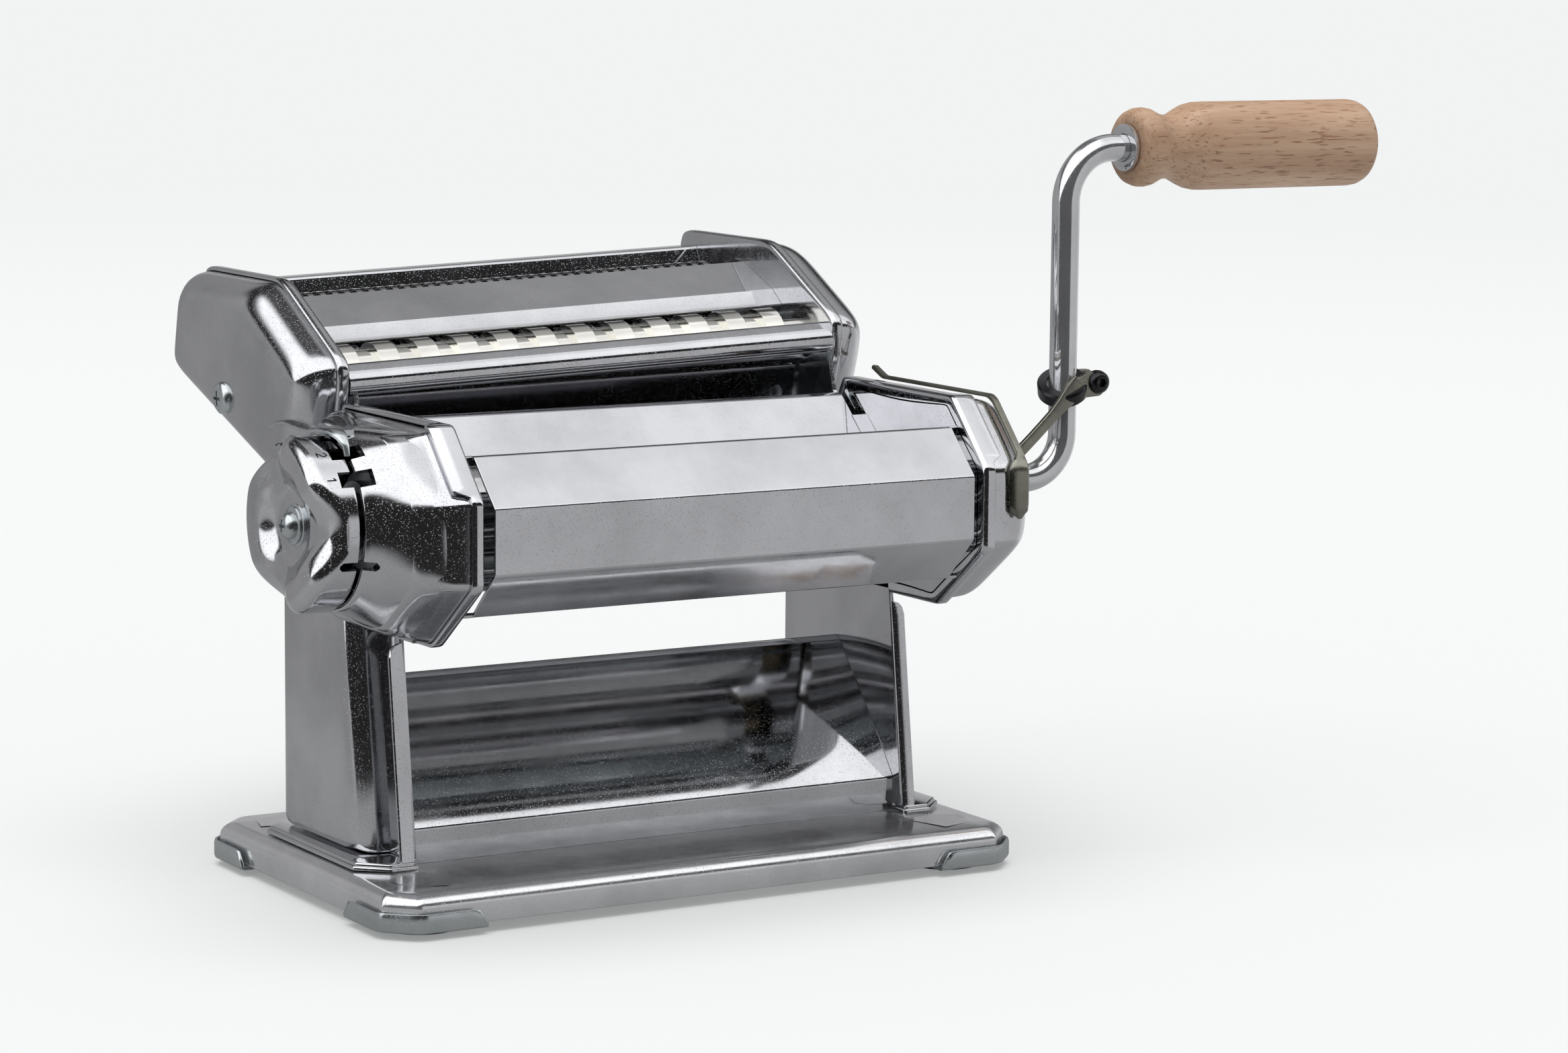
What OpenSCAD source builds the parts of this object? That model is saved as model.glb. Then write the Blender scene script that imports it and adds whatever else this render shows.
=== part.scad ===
// Hand-cranked pasta roller machine with a clip-on double cutter.
// Millimetres. +X runs along the rollers to the crank, -Y is the front, +Z is up.
// Modules work from the middle of the base; the finished part is moved so that the
// origin is on the table, under the middle of the front left foot.

/* [Base] */
// Width of the base tray
base_w = 205; // [180:1:240]
// Depth of the base tray
base_d = 125; // [100:1:150]
// Height of the tray's skirt
base_h = 10; // [8:0.5:16]
// Corner cut of the tray
base_cut = 8; // [6:0.5:14]
// Sheet thickness of the tray, shells and covers
sheet = 1.2; // [0.8:0.1:1.6]
// Height of a rubber foot under its bracket
foot_h = 2; // [1.5:0.25:5]
// Radius of a rubber foot
foot_r = 11; // [8:0.5:13]

/* [Roller unit] */
// Length of the smooth rollers
roller_l = 150.4; // [130:0.4:200]
// Radius of the smooth rollers
roller_r = 13.1; // [11:0.1:14]
// Gap between the rollers at setting 1
gap_open = 2.6; // [1.8:0.1:3]
// Fall of the roller pair from the front roller to the rear one, degrees
pair_lean = 11; // [8:0.5:22]
// Height of the adjustable roller's axis
knob_z = 114; // [112:0.5:117]
// Front-to-back size of the eight-sided casing
casing_d = 90; // [86:1:96]
// Height of the casing
casing_h = 62.5; // [60:0.5:70]
// How far the casing stands out in front of the base
overhang = 12; // [6:0.5:16]
// Depth of a gear casing beyond its side plate
gear_space = 20; // [18:0.5:26]

/* [Posts and chute] */
// Outside thickness of a post
post_t = 11.5; // [9:0.5:16]
// Depth of a post at its foot
post_d = 68; // [50:1:72]
// Height of the chute's top lip
chute_h = 62; // [50:1:66]

/* [Knob] */
// Radius of the knob and its collar
knob_r = 24.3; // [20:0.1:26]
// Length of the knob's cup
knob_l = 13; // [10:0.5:18]
// Length of the collar on the left shell
collar_l = 9.5; // [7:0.5:14]
// Number of thickness settings
settings = 6; // [4:1:7]

/* [Crank] */
// Radius of the crank rod
rod_r = 4.25; // [3.5:0.05:5]
// Distance from the drive axis to the grip's axis
crank_arm = 100.5; // [80:0.5:120]
// How far the arm stands from the right shell
arm_gap = 47.5; // [34:0.5:60]
// Centre-line radius of the rod's lower bend
bend_r = 13.5; // [12:0.5:20]
// Centre-line radius of the rod's upper bend
top_bend_r = 16.5; // [12:0.5:20]
// Length of the wooden grip
grip_l = 89; // [80:1:110]
// Largest radius of the grip
grip_r = 13.7; // [12:0.1:16]

/* [Cutter] */
// Radius of a cutter roller over its ridges
cutter_r = 9.5; // [9:0.1:10]
// How far the ridges of a pair reach into each other's grooves
cutter_mesh = 1.5; // [1:0.1:1.8]
// Width of the wide noodles
wide_w = 6.5; // [4:0.5:8]
// Width of the fine noodles
fine_w = 2; // [1.5:0.1:3]
// Depth of a cutter cap
cap_depth = 14.5; // [12:0.5:18]
// Lift of the cutter's right end, which rests on the strap, degrees
cutter_tilt = 2.1; // [0:0.1:3]

/* [Clearances] */
// Radial clearance of a running journal
run_gap = 0.05; // [0.02:0.01:0.1]
// Gap between faces that pass each other
face_gap = 0.3; // [0.2:0.05:0.5]

/* [Hidden] */
$fn = 64;

// heights of the base
bracket_t = 1.2;
skirt_z = foot_h + bracket_t;
base_top = skirt_z + base_h;
plate_foot_t = 2;
post_z = base_top + plate_foot_t;

// places along X, each measured from the middle
roller_end = roller_l / 2;
cover_end = roller_end + 2.3;
plate_in = roller_end + 5.3;
plate_t = 1.5;
plate_out = plate_in + plate_t;
rim_out = plate_in + 5;
shell_out = plate_out + gear_space;
post_out = plate_in + post_t;
gear_in = plate_out + 3;
gear_l = 6;

// casing outline, from its front, back, bottom and top
casing_front = -base_d / 2 - overhang;
casing_rear = casing_front + casing_d;
casing_bottom = 78.5;
casing_top = casing_bottom + casing_h;
cut_y = 18;
cut_z = 19.2;
rear_cut_y = 11;
casing = [[casing_front, casing_bottom + cut_z], [casing_front, casing_top - cut_z],
  [casing_front + cut_y, casing_top], [casing_rear - rear_cut_y, casing_top],
  [casing_rear, casing_top - cut_z], [casing_rear, casing_bottom + cut_z],
  [casing_rear - cut_y + 1, casing_bottom], [casing_front + 25, casing_bottom]];

// post outline: its front edge comes forward at the foot
post_front = -base_d / 2 + 30.5;
post_lean = 8.5;
post_rear = post_front + post_d;
post_top = casing_bottom + 4;
shell_back = 13;
rear_lean = 0;
plate_post = [[post_front, post_z], [post_front + post_lean, post_top],
  [post_rear - rear_lean, post_top], [post_rear, post_z]];
shell_post = [[post_front + shell_back, post_z], [post_front + post_lean + shell_back, post_top],
  [post_rear - rear_lean, post_top], [post_rear, post_z]];

// roller axes as [y, z]
knob_y = casing_front + 34;
knob_axis = [knob_y, knob_z];
pair_dist = 2 * roller_r + gap_open;
gap_travel = 2.2;
throw = 1.18;
pair_dir = [cos(pair_lean), -sin(pair_lean)];
adjust_axis = knob_axis - throw * pair_dir;
drive_axis = adjust_axis + pair_dist * pair_dir;
journal_r = 6;
bush_r = journal_r + 2;
block_r = journal_r + 2.5;
block_hole_r = block_r + gap_travel + 1;
rod_hole_r = rod_r + run_gap;

// long-toothed roller gears, which stay in mesh while the gap changes
teeth = 16;
gear_tip = pair_dist / 2 + 0.8;
gear_root = pair_dist - gap_travel - 0.4 - gear_tip;

// knob places along X
collar_end = shell_out + collar_l;
knob_gap = 1.6;
knob_in = collar_end + knob_gap;
knob_out = knob_in + knob_l;
sleeve_r = 8;
shaft_r = 5;

// crank places
arm_x = shell_out + arm_gap;
grip_in = arm_x + top_bend_r + 6;
grip_z = drive_axis[1] + crank_arm;

// tie rods as [y, z]; the first carries the cutter's hooks
rod_places = [[casing_rear - 11.5, casing_top - 17],
  [casing_rear - 11.8 - sheet, casing_bottom + 14.8 + sheet],
  [casing_front + 14, casing_bottom + 20], [casing_front + 13, casing_top - 22]];
tie_r = 3;

// cutter outline, in the same side view
cut_front = casing_rear - 7;
cut_low = 111;
cutter = [[cut_front + 15, cut_low], [cut_front + 99, cut_low + 30.5],
  [cut_front + 90, cut_low + 61.5], [cut_front + 37, cut_low + 61.5],
  [cut_front - 0.5, cut_low + 40.5], [cut_front, cut_low + 31.5]];
cutter_rim = 1.5;
wide_rear = [cut_front + 25.5, cut_low + 33.6];
fine_rear = [cut_front + 67, cut_low + 45];
cutter_dist = 2 * cutter_r - cutter_mesh;
wide_fall = 72;
fine_fall = 62;
wide_front = wide_rear - cutter_dist * [cos(wide_fall), sin(wide_fall)];
fine_front = fine_rear - cutter_dist * [cos(fine_fall), sin(fine_fall)];
cutter_journal = 5.5;
socket_r = rod_r + 0.1;
cap_out = plate_out + cap_depth;
cutter_teeth = 12;
cutter_tip = cutter_dist / 2 + 1.1;
cutter_root = cutter_dist / 2 - 1.4;
cutter_rod_places = [wide_rear + [20, 3], wide_front + [14, -3], fine_rear + [14, -9]];
// screws that hold the left and right caps
left_screw = wide_rear + [27.5, -6.6];
right_screw = wide_rear + [21, -6.6];

steel = "silver";
zinc = "lightgray";
brass = "darkkhaki";

// points of a closed outline moved inwards by d
function inset(pts, d) = let (n = len(pts)) [for (i = [0:n - 1])
  let (u = unit(pts[(i + n - 1) % n] - pts[i]), v = unit(pts[(i + 1) % n] - pts[i]))
  pts[i] + unit(u + v) * d / sin(acos(u * v) / 2)];
function unit(v) = v / norm(v);
// outline with each corner rounded to radius r in n steps
function rounded(pts, r, n = 4) = let (m = len(pts)) [for (i = [0:m - 1])
  let (u = unit(pts[(i + m - 1) % m] - pts[i]), v = unit(pts[(i + 1) % m] - pts[i]),
    half = acos(u * v) / 2, c = pts[i] + unit(u + v) * r / sin(half),
    a = atan2((pts[i] + u * r / tan(half) - c)[1], (pts[i] + u * r / tan(half) - c)[0]),
    b = atan2((pts[i] + v * r / tan(half) - c)[1], (pts[i] + v * r / tan(half) - c)[0]),
    turn = b - a > 180 ? b - a - 360 : b - a < -180 ? b - a + 360 : b - a)
  for (k = [0:n]) c + r * [cos(a + turn * k / n), sin(a + turn * k / n)]];
// closed outline of a sheet of thickness t bent along a path; the sheet lies left of the path
function ribbon(path, t) = concat(path, [for (i = [len(path) - 1:-1:0])
  let (a = unit(path[min(i + 1, len(path) - 1)] - path[min(i, len(path) - 2)]),
    b = unit(path[max(i, 1)] - path[max(i - 1, 0)]), m = unit(a + b),
    s = t / (m * a)) path[i] + s * [-m[1], m[0]]]);
function ring_teeth(n, root, tip) = [for (i = [0:n - 1]) for (s = [[-0.3, root], [-0.13, tip],
  [0.13, tip], [0.3, root]]) s[1] * [cos((i + s[0]) * 360 / n), sin((i + s[0]) * 360 / n)]];

// draws a side view, given as [y, z], from x0 to x1
module along_x(x0, x1) {
  translate([x0, 0, 0]) rotate([90, 0, 90]) linear_extrude(x1 - x0) children();
}
// round bar along X about an axis given as [y, z]
module bar(x0, x1, axis, r) {
  translate([x0, axis[0], axis[1]]) rotate([0, 90, 0]) cylinder(h = x1 - x0, r = r);
}
module mirror_x() {
  children();
  mirror([1, 0, 0]) children();
}
module corners() {
  for (sx = [-1, 1]) for (sy = [-1, 1]) scale_sign(sx, sy) children();
}
module scale_sign(sx, sy) {
  mirror([sx < 0 ? 1 : 0, 0, 0]) mirror([0, sy < 0 ? 1 : 0, 0]) children();
}

// ---------- base ----------
base_outline = [[-base_w / 2 + base_cut, -base_d / 2], [base_w / 2 - base_cut, -base_d / 2],
  [base_w / 2, -base_d / 2 + base_cut], [base_w / 2, base_d / 2 - base_cut],
  [base_w / 2 - base_cut, base_d / 2], [-base_w / 2 + base_cut, base_d / 2],
  [-base_w / 2, base_d / 2 - base_cut], [-base_w / 2, -base_d / 2 + base_cut]];
edge_r = 2.5;
clamp_hole_r = 3.5;
clamp_hole_z = skirt_z + clamp_hole_r + 0.4;
bracket_l = 28;
bracket_lip = 4.5;
bracket_out = 2;

module base_tray() {
  color(steel) difference() {
    hull() {
      translate([0, 0, skirt_z]) linear_extrude(base_h - edge_r) polygon(base_outline);
      translate([0, 0, skirt_z]) linear_extrude(base_h) polygon(inset(base_outline, edge_r));
    }
    translate([0, 0, skirt_z - 1]) linear_extrude(base_h - edge_r + 1)
      polygon(inset(base_outline, sheet));
    translate([0, 0, skirt_z]) linear_extrude(base_h - sheet)
      polygon(inset(base_outline, sheet + edge_r));
    translate([0, base_d / 2 - 10, clamp_hole_z]) rotate([-90, 0, 0])
      cylinder(h = 20, r = clamp_hole_r);
  }
}
module corner_brackets() {
  wide = inset(base_outline, -bracket_out);
  color(zinc) intersection() {
    difference() {
      translate([0, 0, foot_h]) linear_extrude(bracket_t + bracket_lip) polygon(wide);
      translate([0, 0, skirt_z]) linear_extrude(base_h) polygon(base_outline);
    }
    corners() translate([base_w / 2 - bracket_l, base_d / 2 - bracket_l, 0])
      cube([bracket_l + 5, bracket_l + 5, skirt_z + bracket_lip]);
  }
}
module rubber_feet() {
  color("black") corners()
    translate([base_w / 2 - foot_r - 5, base_d / 2 - foot_r - 5, 0]) cylinder(h = foot_h, r = foot_r);
}
foot_cut = 8;
foot_front = post_front - 2;
foot_rear = post_rear + 4;
foot_out = post_out + 5.5;
foot_in = plate_in;
module foot_plates() {
  outline = [[foot_in, foot_front], [foot_out - foot_cut, foot_front], [foot_out, foot_front + foot_cut],
    [foot_out, foot_rear - foot_cut], [foot_out - foot_cut, foot_rear], [foot_in, foot_rear]];
  color(steel) mirror_x() translate([0, 0, base_top]) linear_extrude(plate_foot_t) polygon(outline);
}

// ---------- side plates and shells ----------
rim_r = 3;
module plate_face() {
  polygon(rounded(casing, rim_r));
  polygon(plate_post);
}
module side_plate() {
  difference() {
    union() {
      along_x(plate_in, plate_out) plate_face();
      along_x(plate_in, rim_out) difference() {
        polygon(rounded(casing, rim_r));
        polygon(rounded(inset(casing, sheet), rim_r - sheet));
      }
      along_x(plate_in, rim_out) polygon([plate_post[0], plate_post[0] + [sheet, 0],
        plate_post[1] + [sheet, -6], plate_post[1] + [0, -6]]);
    }
    bar(plate_in - 1, rim_out + 1, drive_axis, bush_r);
    bar(plate_in - 1, plate_out + 1, adjust_axis, block_hole_r);
    for (p = rod_places) bar(plate_in - 1, plate_out + 1, p, tie_r);
    // the rim's lower edge is open where the post runs up into the casing
    translate([plate_out, post_front + post_lean + shell_back, casing_bottom - 1])
      cube([10, casing_rear - cut_y - post_front - post_lean - shell_back - 1, sheet + 2]);
  }
}
module side_plate_left() { color(steel) mirror([1, 0, 0]) side_plate(); }
module side_plate_right() { color(steel) side_plate(); }

shell_round = 12;
module deep_drawn(pts, x0, x1, r, grow) {
  hull() {
    along_x(x0, x1 - r) polygon(rounded(pts, 4));
    along_x(x1 - r, x1 - r * 0.3) polygon(rounded(inset(pts, r * 0.3), 4));
    along_x(x1 - r * 0.3, x1) polygon(rounded(inset(pts, r), 4));
  }
}
module shell_body() {
  inner = inset(casing, sheet);
  difference() {
    union() {
      deep_drawn(inner, plate_out, shell_out, shell_round);
      deep_drawn(shell_post, plate_out, post_out, 6);
    }
    deep_drawn(inset(inner, sheet), plate_out - 1, shell_out - sheet, shell_round - sheet);
    deep_drawn(inset(shell_post, sheet), plate_out - 1, post_out - sheet, 5);
    along_x(plate_out - 1, rim_out + 0.01) difference() {
      translate([casing_front - 20, casing_bottom - 0.01]) square([casing_d + 40, casing_h + 20]);
      polygon(inner);
    }
  }
}
module side_shell_right() {
  color(steel) difference() {
    shell_body();
    bar(plate_out, shell_out + 5, drive_axis, rod_r + 2);
  }
}
notch_w = 5;
// turn from the top of the knob to the mark for setting 1, and between settings
first_notch = 54;
knob_step = 21.5;
notch_l = 4;
module side_shell_left() {
  color(steel) difference() {
    union() {
      mirror([1, 0, 0]) shell_body();
      difference() {
        bar(-collar_end, -shell_out + 3, knob_axis, knob_r);
        bar(-collar_end - 1, -shell_out + 4, knob_axis, knob_r - sheet);
        mirror([1, 0, 0]) deep_drawn(inset(inset(casing, sheet), sheet), plate_out - 1,
          shell_out - sheet, shell_round - sheet);
      }
    }
    bar(-shell_out - 1, -shell_out + 5, knob_axis, sleeve_r + 3);
    for (a = [first_notch - knob_step, first_notch, 111.7, 215])
      translate([-collar_end, knob_axis[0], knob_axis[1]])
      rotate([a, 0, 0]) translate([-1, -notch_w / 2, knob_r - 3]) cube([notch_l, notch_w, 6]);
  }
}

// ---------- covers, chute, hopper ----------
module sheet_part(path, t, x) { along_x(-x, x) polygon(ribbon(path, t)); }
chute_front = post_front + 4.5;
chute_step = 10;
chute_back = chute_front + 31;
module chute() {
  color(steel) sheet_part([[chute_front, base_top], [chute_front, base_top + chute_step],
    [chute_back, chute_h - 1.5], [chute_back + 2, chute_h], [chute_back + 4, chute_h - 0.5],
    [chute_back + 5, chute_h - 3]], -sheet, plate_in);
}
cover_t = 1;
module front_cover() {
  f = casing_front + 0.5;
  path = [[f + 16, casing_top - 11], [f + 14.6, casing_top - 8.3],
    [f + 12.6, casing_top - 8.6], [f, casing_top - 21.4], [f, casing_bottom + 22.7],
    [f + 12, casing_bottom + 9.5], [f + 14, casing_bottom + 9.2]];
  color(steel) {
    sheet_part(path, cover_t, cover_end);
    // end tabs that rest on the side plates
    for (k = [0, 5]) sheet_part([path[k], path[k + 1]], cover_t, plate_in);
  }
}
module rear_cover() {
  r = casing_rear - 0.5;
  color(steel) sheet_part([[r - 14.6, casing_top - 10.5], [r - 10.6, casing_top - 8.3],
    [r, casing_top - 21.4], [r, casing_bottom + 22.7], [r - 12, casing_bottom + 9.5]],
    -cover_t, cover_end);
  // end tabs that rest on the side plates
  color(steel) sheet_part([[r, casing_bottom + 22.7], [r - 12, casing_bottom + 9.5]],
    -cover_t, plate_in);
}
module hopper_plate() {
  top = [casing_rear - 15, casing_top - 6];
  low = [drive_axis + [-2, roller_r + 1.8], drive_axis + [2, roller_r + 2.6]];
  color(steel) {
    sheet_part(concat(low, [top, top + [2.2, 0.8], top + [3.4, -1]]), cover_t, cover_end + 0.5);
    // its lower edge runs on to the side plates, clear of the cutter's hooks
    sheet_part(concat(low, [low[1] + (top - low[1]) * 0.5]), cover_t, plate_in);
  }
}
module tie_rods() {
  color(zinc) for (p = rod_places) bar(-rim_out, rim_out, p, tie_r);
}
module tie_nuts() {
  color(zinc) mirror_x() for (p = rod_places) difference() {
    translate([plate_out, p[0], p[1]]) rotate([0, 90, 0]) cylinder(h = 2.5, r = 5.2, $fn = 6);
    bar(plate_out - 1, rim_out + 1, p, tie_r);
  }
}
module drive_bushes() {
  color("goldenrod") mirror_x() difference() {
    union() {
      bar(roller_end + 1, gear_in - 0.5, drive_axis, bush_r);
      bar(roller_end + 1, plate_in, drive_axis, bush_r + 1.5);
    }
    bar(roller_end, gear_in, drive_axis, journal_r + run_gap);
  }
}
scraper_t = 1;
module scraper(axis, angle) {
  translate([0, axis[0], axis[1]]) rotate([angle, 0, 0])
    translate([-cover_end, roller_r + face_gap, -scraper_t / 2]) cube([2 * cover_end, 10, scraper_t]);
}
module fixed_scraper() {
  color(zinc) {
    scraper(drive_axis, -75);
    mirror_x() translate([0, drive_axis[0], drive_axis[1]]) rotate([-75, 0, 0])
      translate([cover_end, roller_r + 2, -scraper_t / 2]) cube([plate_in - cover_end, 8, scraper_t]);
  }
}

// ---------- rollers and gears ----------
module roller(axis, left_end, right_end) {
  bar(-roller_end, roller_end, axis, roller_r);
  bar(-left_end, right_end, axis, journal_r);
}
module drive_roller() {
  color(steel) difference() {
    roller(drive_axis, gear_in - 1, gear_in + gear_l + 5);
    bar(roller_end + 1, gear_in + gear_l + 6, drive_axis, rod_hole_r);
  }
}
module long_gear(axis, turn) {
  translate([0, axis[0], axis[1]]) rotate([turn, 0, 0]) along_x(gear_in, gear_in + gear_l)
    difference() {
      polygon(ring_teeth(teeth, gear_root, gear_tip));
      circle(r = journal_r);
    }
}
// the pair's line of centres falls on a tooth of one gear and a space of the other
module drive_gear() { color("dimgray") long_gear(drive_axis, 180 - pair_lean); }
module adjust_gear() { color("dimgray") long_gear(adjust_axis, -pair_lean + 180 / teeth); }
module adjust_roller() {
  color(steel) roller(adjust_axis, gear_in - 1.5, gear_in + gear_l + 1);
}
cam_r = sleeve_r + 1.5;
cam_t = 3;
cam_in = gear_in - 0.5 + face_gap;
ring_hole_r = cam_r + 1.5;
module bearing_blocks() {
  color("goldenrod") {
    mirror_x() difference() {
      bar(roller_end + 1, gear_in - 0.5, adjust_axis, block_r);
      bar(roller_end, gear_in, adjust_axis, journal_r + run_gap);
    }
    // ring around the knob's eccentric, on the left block
    difference() {
      bar(-cam_in - cam_t, -plate_out - 0.5, adjust_axis, ring_hole_r + 2);
      bar(-cam_in - cam_t - 1, -gear_in + 0.5, adjust_axis, ring_hole_r);
      bar(-gear_in, -plate_out, adjust_axis, block_r);
    }
  }
}
module moving_scraper() {
  color(zinc) {
    scraper(adjust_axis, 232);
    mirror_x() difference() {
      translate([0, adjust_axis[0], adjust_axis[1]]) rotate([232, 0, 0])
        translate([roller_end + 1.2, journal_r + 1, -scraper_t / 2])
          cube([cover_end - roller_end - 1.2, roller_r - journal_r + 4, scraper_t]);
      bar(roller_end, cover_end + 1, adjust_axis, block_r);
    }
  }
}

// ---------- knob ----------
module knob_bush() {
  color(zinc) difference() {
    union() {
      bar(-shell_out - 1.5, -shell_out + 5, knob_axis, sleeve_r + 3);
      bar(-shell_out + sheet, -shell_out + 5, knob_axis, sleeve_r + 6);
    }
    bar(-shell_out - 2, -shell_out + 6, knob_axis, sleeve_r + run_gap);
  }
}
// the sleeve turns with the knob; its eccentric end moves the bearing blocks
pull = 4;
spring_l = 3.5;
spring_r = 6.8;
shaft_head = 2;
module eccentric() {
  color("dimgray") difference() {
    union() {
      bar(-shell_out - 2, -cam_in, knob_axis, sleeve_r);
      bar(-cam_in - cam_t, -cam_in, adjust_axis, cam_r);
    }
    bar(-shell_out - 3, -cam_in + 1, knob_axis, shaft_r + run_gap);
    bar(-cam_in - shaft_head - pull - spring_l - face_gap, -cam_in + 1, knob_axis, spring_r + 0.2);
  }
}
knob_face = knob_out - 6;
module knob_shaft() {
  color("dimgray") {
    bar(-knob_face - 1.2, -cam_in - 0.5, knob_axis, shaft_r);
    bar(-cam_in - shaft_head, -cam_in, knob_axis, spring_r);
  }
}
module knob_spring() {
  far = cam_in + shaft_head + pull + face_gap;
  color("dimgray") difference() {
    bar(-far - spring_l, -far, knob_axis, spring_r);
    bar(-far - spring_l - 1, -far + 1, knob_axis, shaft_r);
  }
}
module knob_cup() {
  color(steel) difference() {
    union() {
      difference() {
        bar(-knob_out, -knob_in, knob_axis, knob_r);
        bar(-knob_out - 1, -knob_in + 1, knob_axis, knob_r - sheet);
      }
      // dished face
      translate([-knob_out, knob_axis[0], knob_axis[1]]) rotate([0, 90, 0]) rotate_extrude() polygon([
        [knob_r, 0], [knob_r, sheet], [knob_r - 3, sheet + 0.6], [10.5, knob_out - knob_face + sheet],
        [0, knob_out - knob_face + sheet], [0, knob_out - knob_face], [10, knob_out - knob_face],
        [knob_r - 3.5, 0]]);
    }
    for (a = [0:60:300]) translate([-knob_out, knob_axis[0], knob_axis[1]])
      rotate([a, 0, 0]) translate([0, 0, knob_r + 8]) rotate([0, 60, 0])
        cylinder(h = 40, r = 11.5, center = true);
    bar(-knob_out - 1, -knob_in, knob_axis, shaft_r);
    for (i = [0:settings - 1]) translate([-knob_in, knob_axis[0], knob_axis[1]])
      rotate([first_notch - knob_step * i, 0, 0]) translate([-notch_l + 1, -notch_w / 2, knob_r - 3])
        cube([notch_l, notch_w, 6]);
  }
}
module knob_screw() {
  at = knob_face + 1.2;
  color(zinc) {
    difference() {
      bar(-at - 1.2, -at, knob_axis, 8);
      bar(-at - 2, -at + 1, knob_axis, 2);
    }
    difference() {
      bar(-knob_face - 1.2, -knob_face, knob_axis, 9.5);
      bar(-knob_face - 2, -knob_face + 1, knob_axis, shaft_r);
    }
    difference() {
      bar(-at - 4, -at - 1.2, knob_axis, 4.2);
      for (a = [0, 90]) translate([-at - 4, knob_axis[0], knob_axis[1]]) rotate([a, 0, 0])
        cube([2, 1, 5], center = true);
    }
    bar(-at - 2, -at, knob_axis, 2);
  }
}
module index_tab() {
  top = knob_z + knob_r;
  color(zinc) {
    translate([-knob_in - 4, knob_y - 15, top + 1.8]) cube([9, 33, 1]);
    difference() {
      translate([-collar_end, knob_y - 3, top - 0.5]) cube([5, 6, 2.4]);
      bar(-collar_end - 1, -collar_end + 6, knob_axis, knob_r);
    }
    translate([-knob_in + 0.3, knob_y - 16, top - 4]) cube([1, 1, 6.8]);
  }
}

// ---------- strap on the right shell ----------
strap_t = 1.5;
strap_in = rim_out + 1.5;
strap_w = 7;
module strap_band() {
  o = inset(casing, sheet);
  path = [o[3] + [5, 2.6], o[3] + [-1, 0], o[2], o[1], [o[1][0], o[1][1] - 15]];
  color(brass) along_x(strap_in, strap_in + strap_w) polygon(ribbon(path, -strap_t));
}
ring_r = rod_r + 2.8;
ring_z = drive_axis[1] + 27.5;
screw_off = [ring_r + 3, 0, 1.5];
tail_x = shell_out + 3;
module strap_ring() {
  ring_at = [arm_x, drive_axis[0], ring_z];
  tail_at = [tail_x, drive_axis[0] - 6.5, ring_z - 36];
  d = tail_at - ring_at;
  color(brass) difference() {
    union() {
      translate(ring_at - [0, 0, 4.5]) cylinder(h = 9, r = ring_r);
      translate(ring_at + [0, -6.5, 0]) rotate([0, atan2(-d[2], d[0]), 0])
        translate([-1, -1, -3]) cube([norm([d[0], d[2]]) + 1, 2, 6]);
      translate(ring_at + [0, -7.5, -3.5]) cube([4, 7, 7]);
      translate(ring_at + [0, -3, -2.5]) cube([ring_r + 6, 6, 7]);
    }
    translate(ring_at - [0, 0, 20]) cylinder(h = 40, r = rod_r);
    translate(ring_at + screw_off + [0, -10, 0]) rotate([-90, 0, 0]) cylinder(h = 20, r = 2);
  }
}
module strap_screw() {
  at = [arm_x, drive_axis[0], ring_z] + screw_off;
  color("dimgray") {
    difference() {
      translate(at + [0, -6.5, 0]) rotate([-90, 0, 0]) cylinder(h = 3.5, r = 3.6);
      translate(at + [0, -7, 0]) rotate([-90, 0, 0]) cylinder(h = 2.5, r = 1.6, $fn = 6);
    }
    translate(at + [0, -4, 0]) rotate([-90, 0, 0]) cylinder(h = 11, r = 2);
    difference() {
      translate(at + [0, 3, 0]) rotate([-90, 0, 0]) cylinder(h = 3, r = 3.6, $fn = 6);
      translate(at) rotate([-90, 0, 0]) cylinder(h = 11, r = 2);
    }
  }
}

// ---------- crank ----------
rod_end = grip_in + grip_l - 12;
module crank_rod() {
  low = drive_axis[1];
  color(steel) translate([0, drive_axis[0], 0]) {
    translate([plate_in - 2, 0, low]) rotate([0, 90, 0])
      cylinder(h = arm_x - bend_r - plate_in + 2, r = rod_r);
    translate([arm_x - bend_r, 0, low + bend_r]) rotate([-90, 0, 0])
      rotate_extrude(angle = 90) translate([bend_r, 0]) circle(r = rod_r);
    translate([arm_x, 0, low + bend_r]) cylinder(h = crank_arm - bend_r - top_bend_r, r = rod_r);
    translate([arm_x + top_bend_r, 0, grip_z - top_bend_r]) rotate([-90, 180, 0])
      rotate_extrude(angle = 90) translate([top_bend_r, 0]) circle(r = rod_r);
    translate([arm_x + top_bend_r, 0, grip_z]) rotate([0, 90, 0])
      cylinder(h = rod_end - arm_x - top_bend_r, r = rod_r);
  }
}
module grip_washer() {
  color(zinc) translate([0, drive_axis[0], grip_z]) rotate([0, 90, 0]) difference() {
    translate([0, 0, grip_in - 1.5]) cylinder(h = 1.2, r = rod_r + 3);
    translate([0, 0, grip_in - 3]) cylinder(h = 6, r = rod_r);
  }
}
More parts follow.
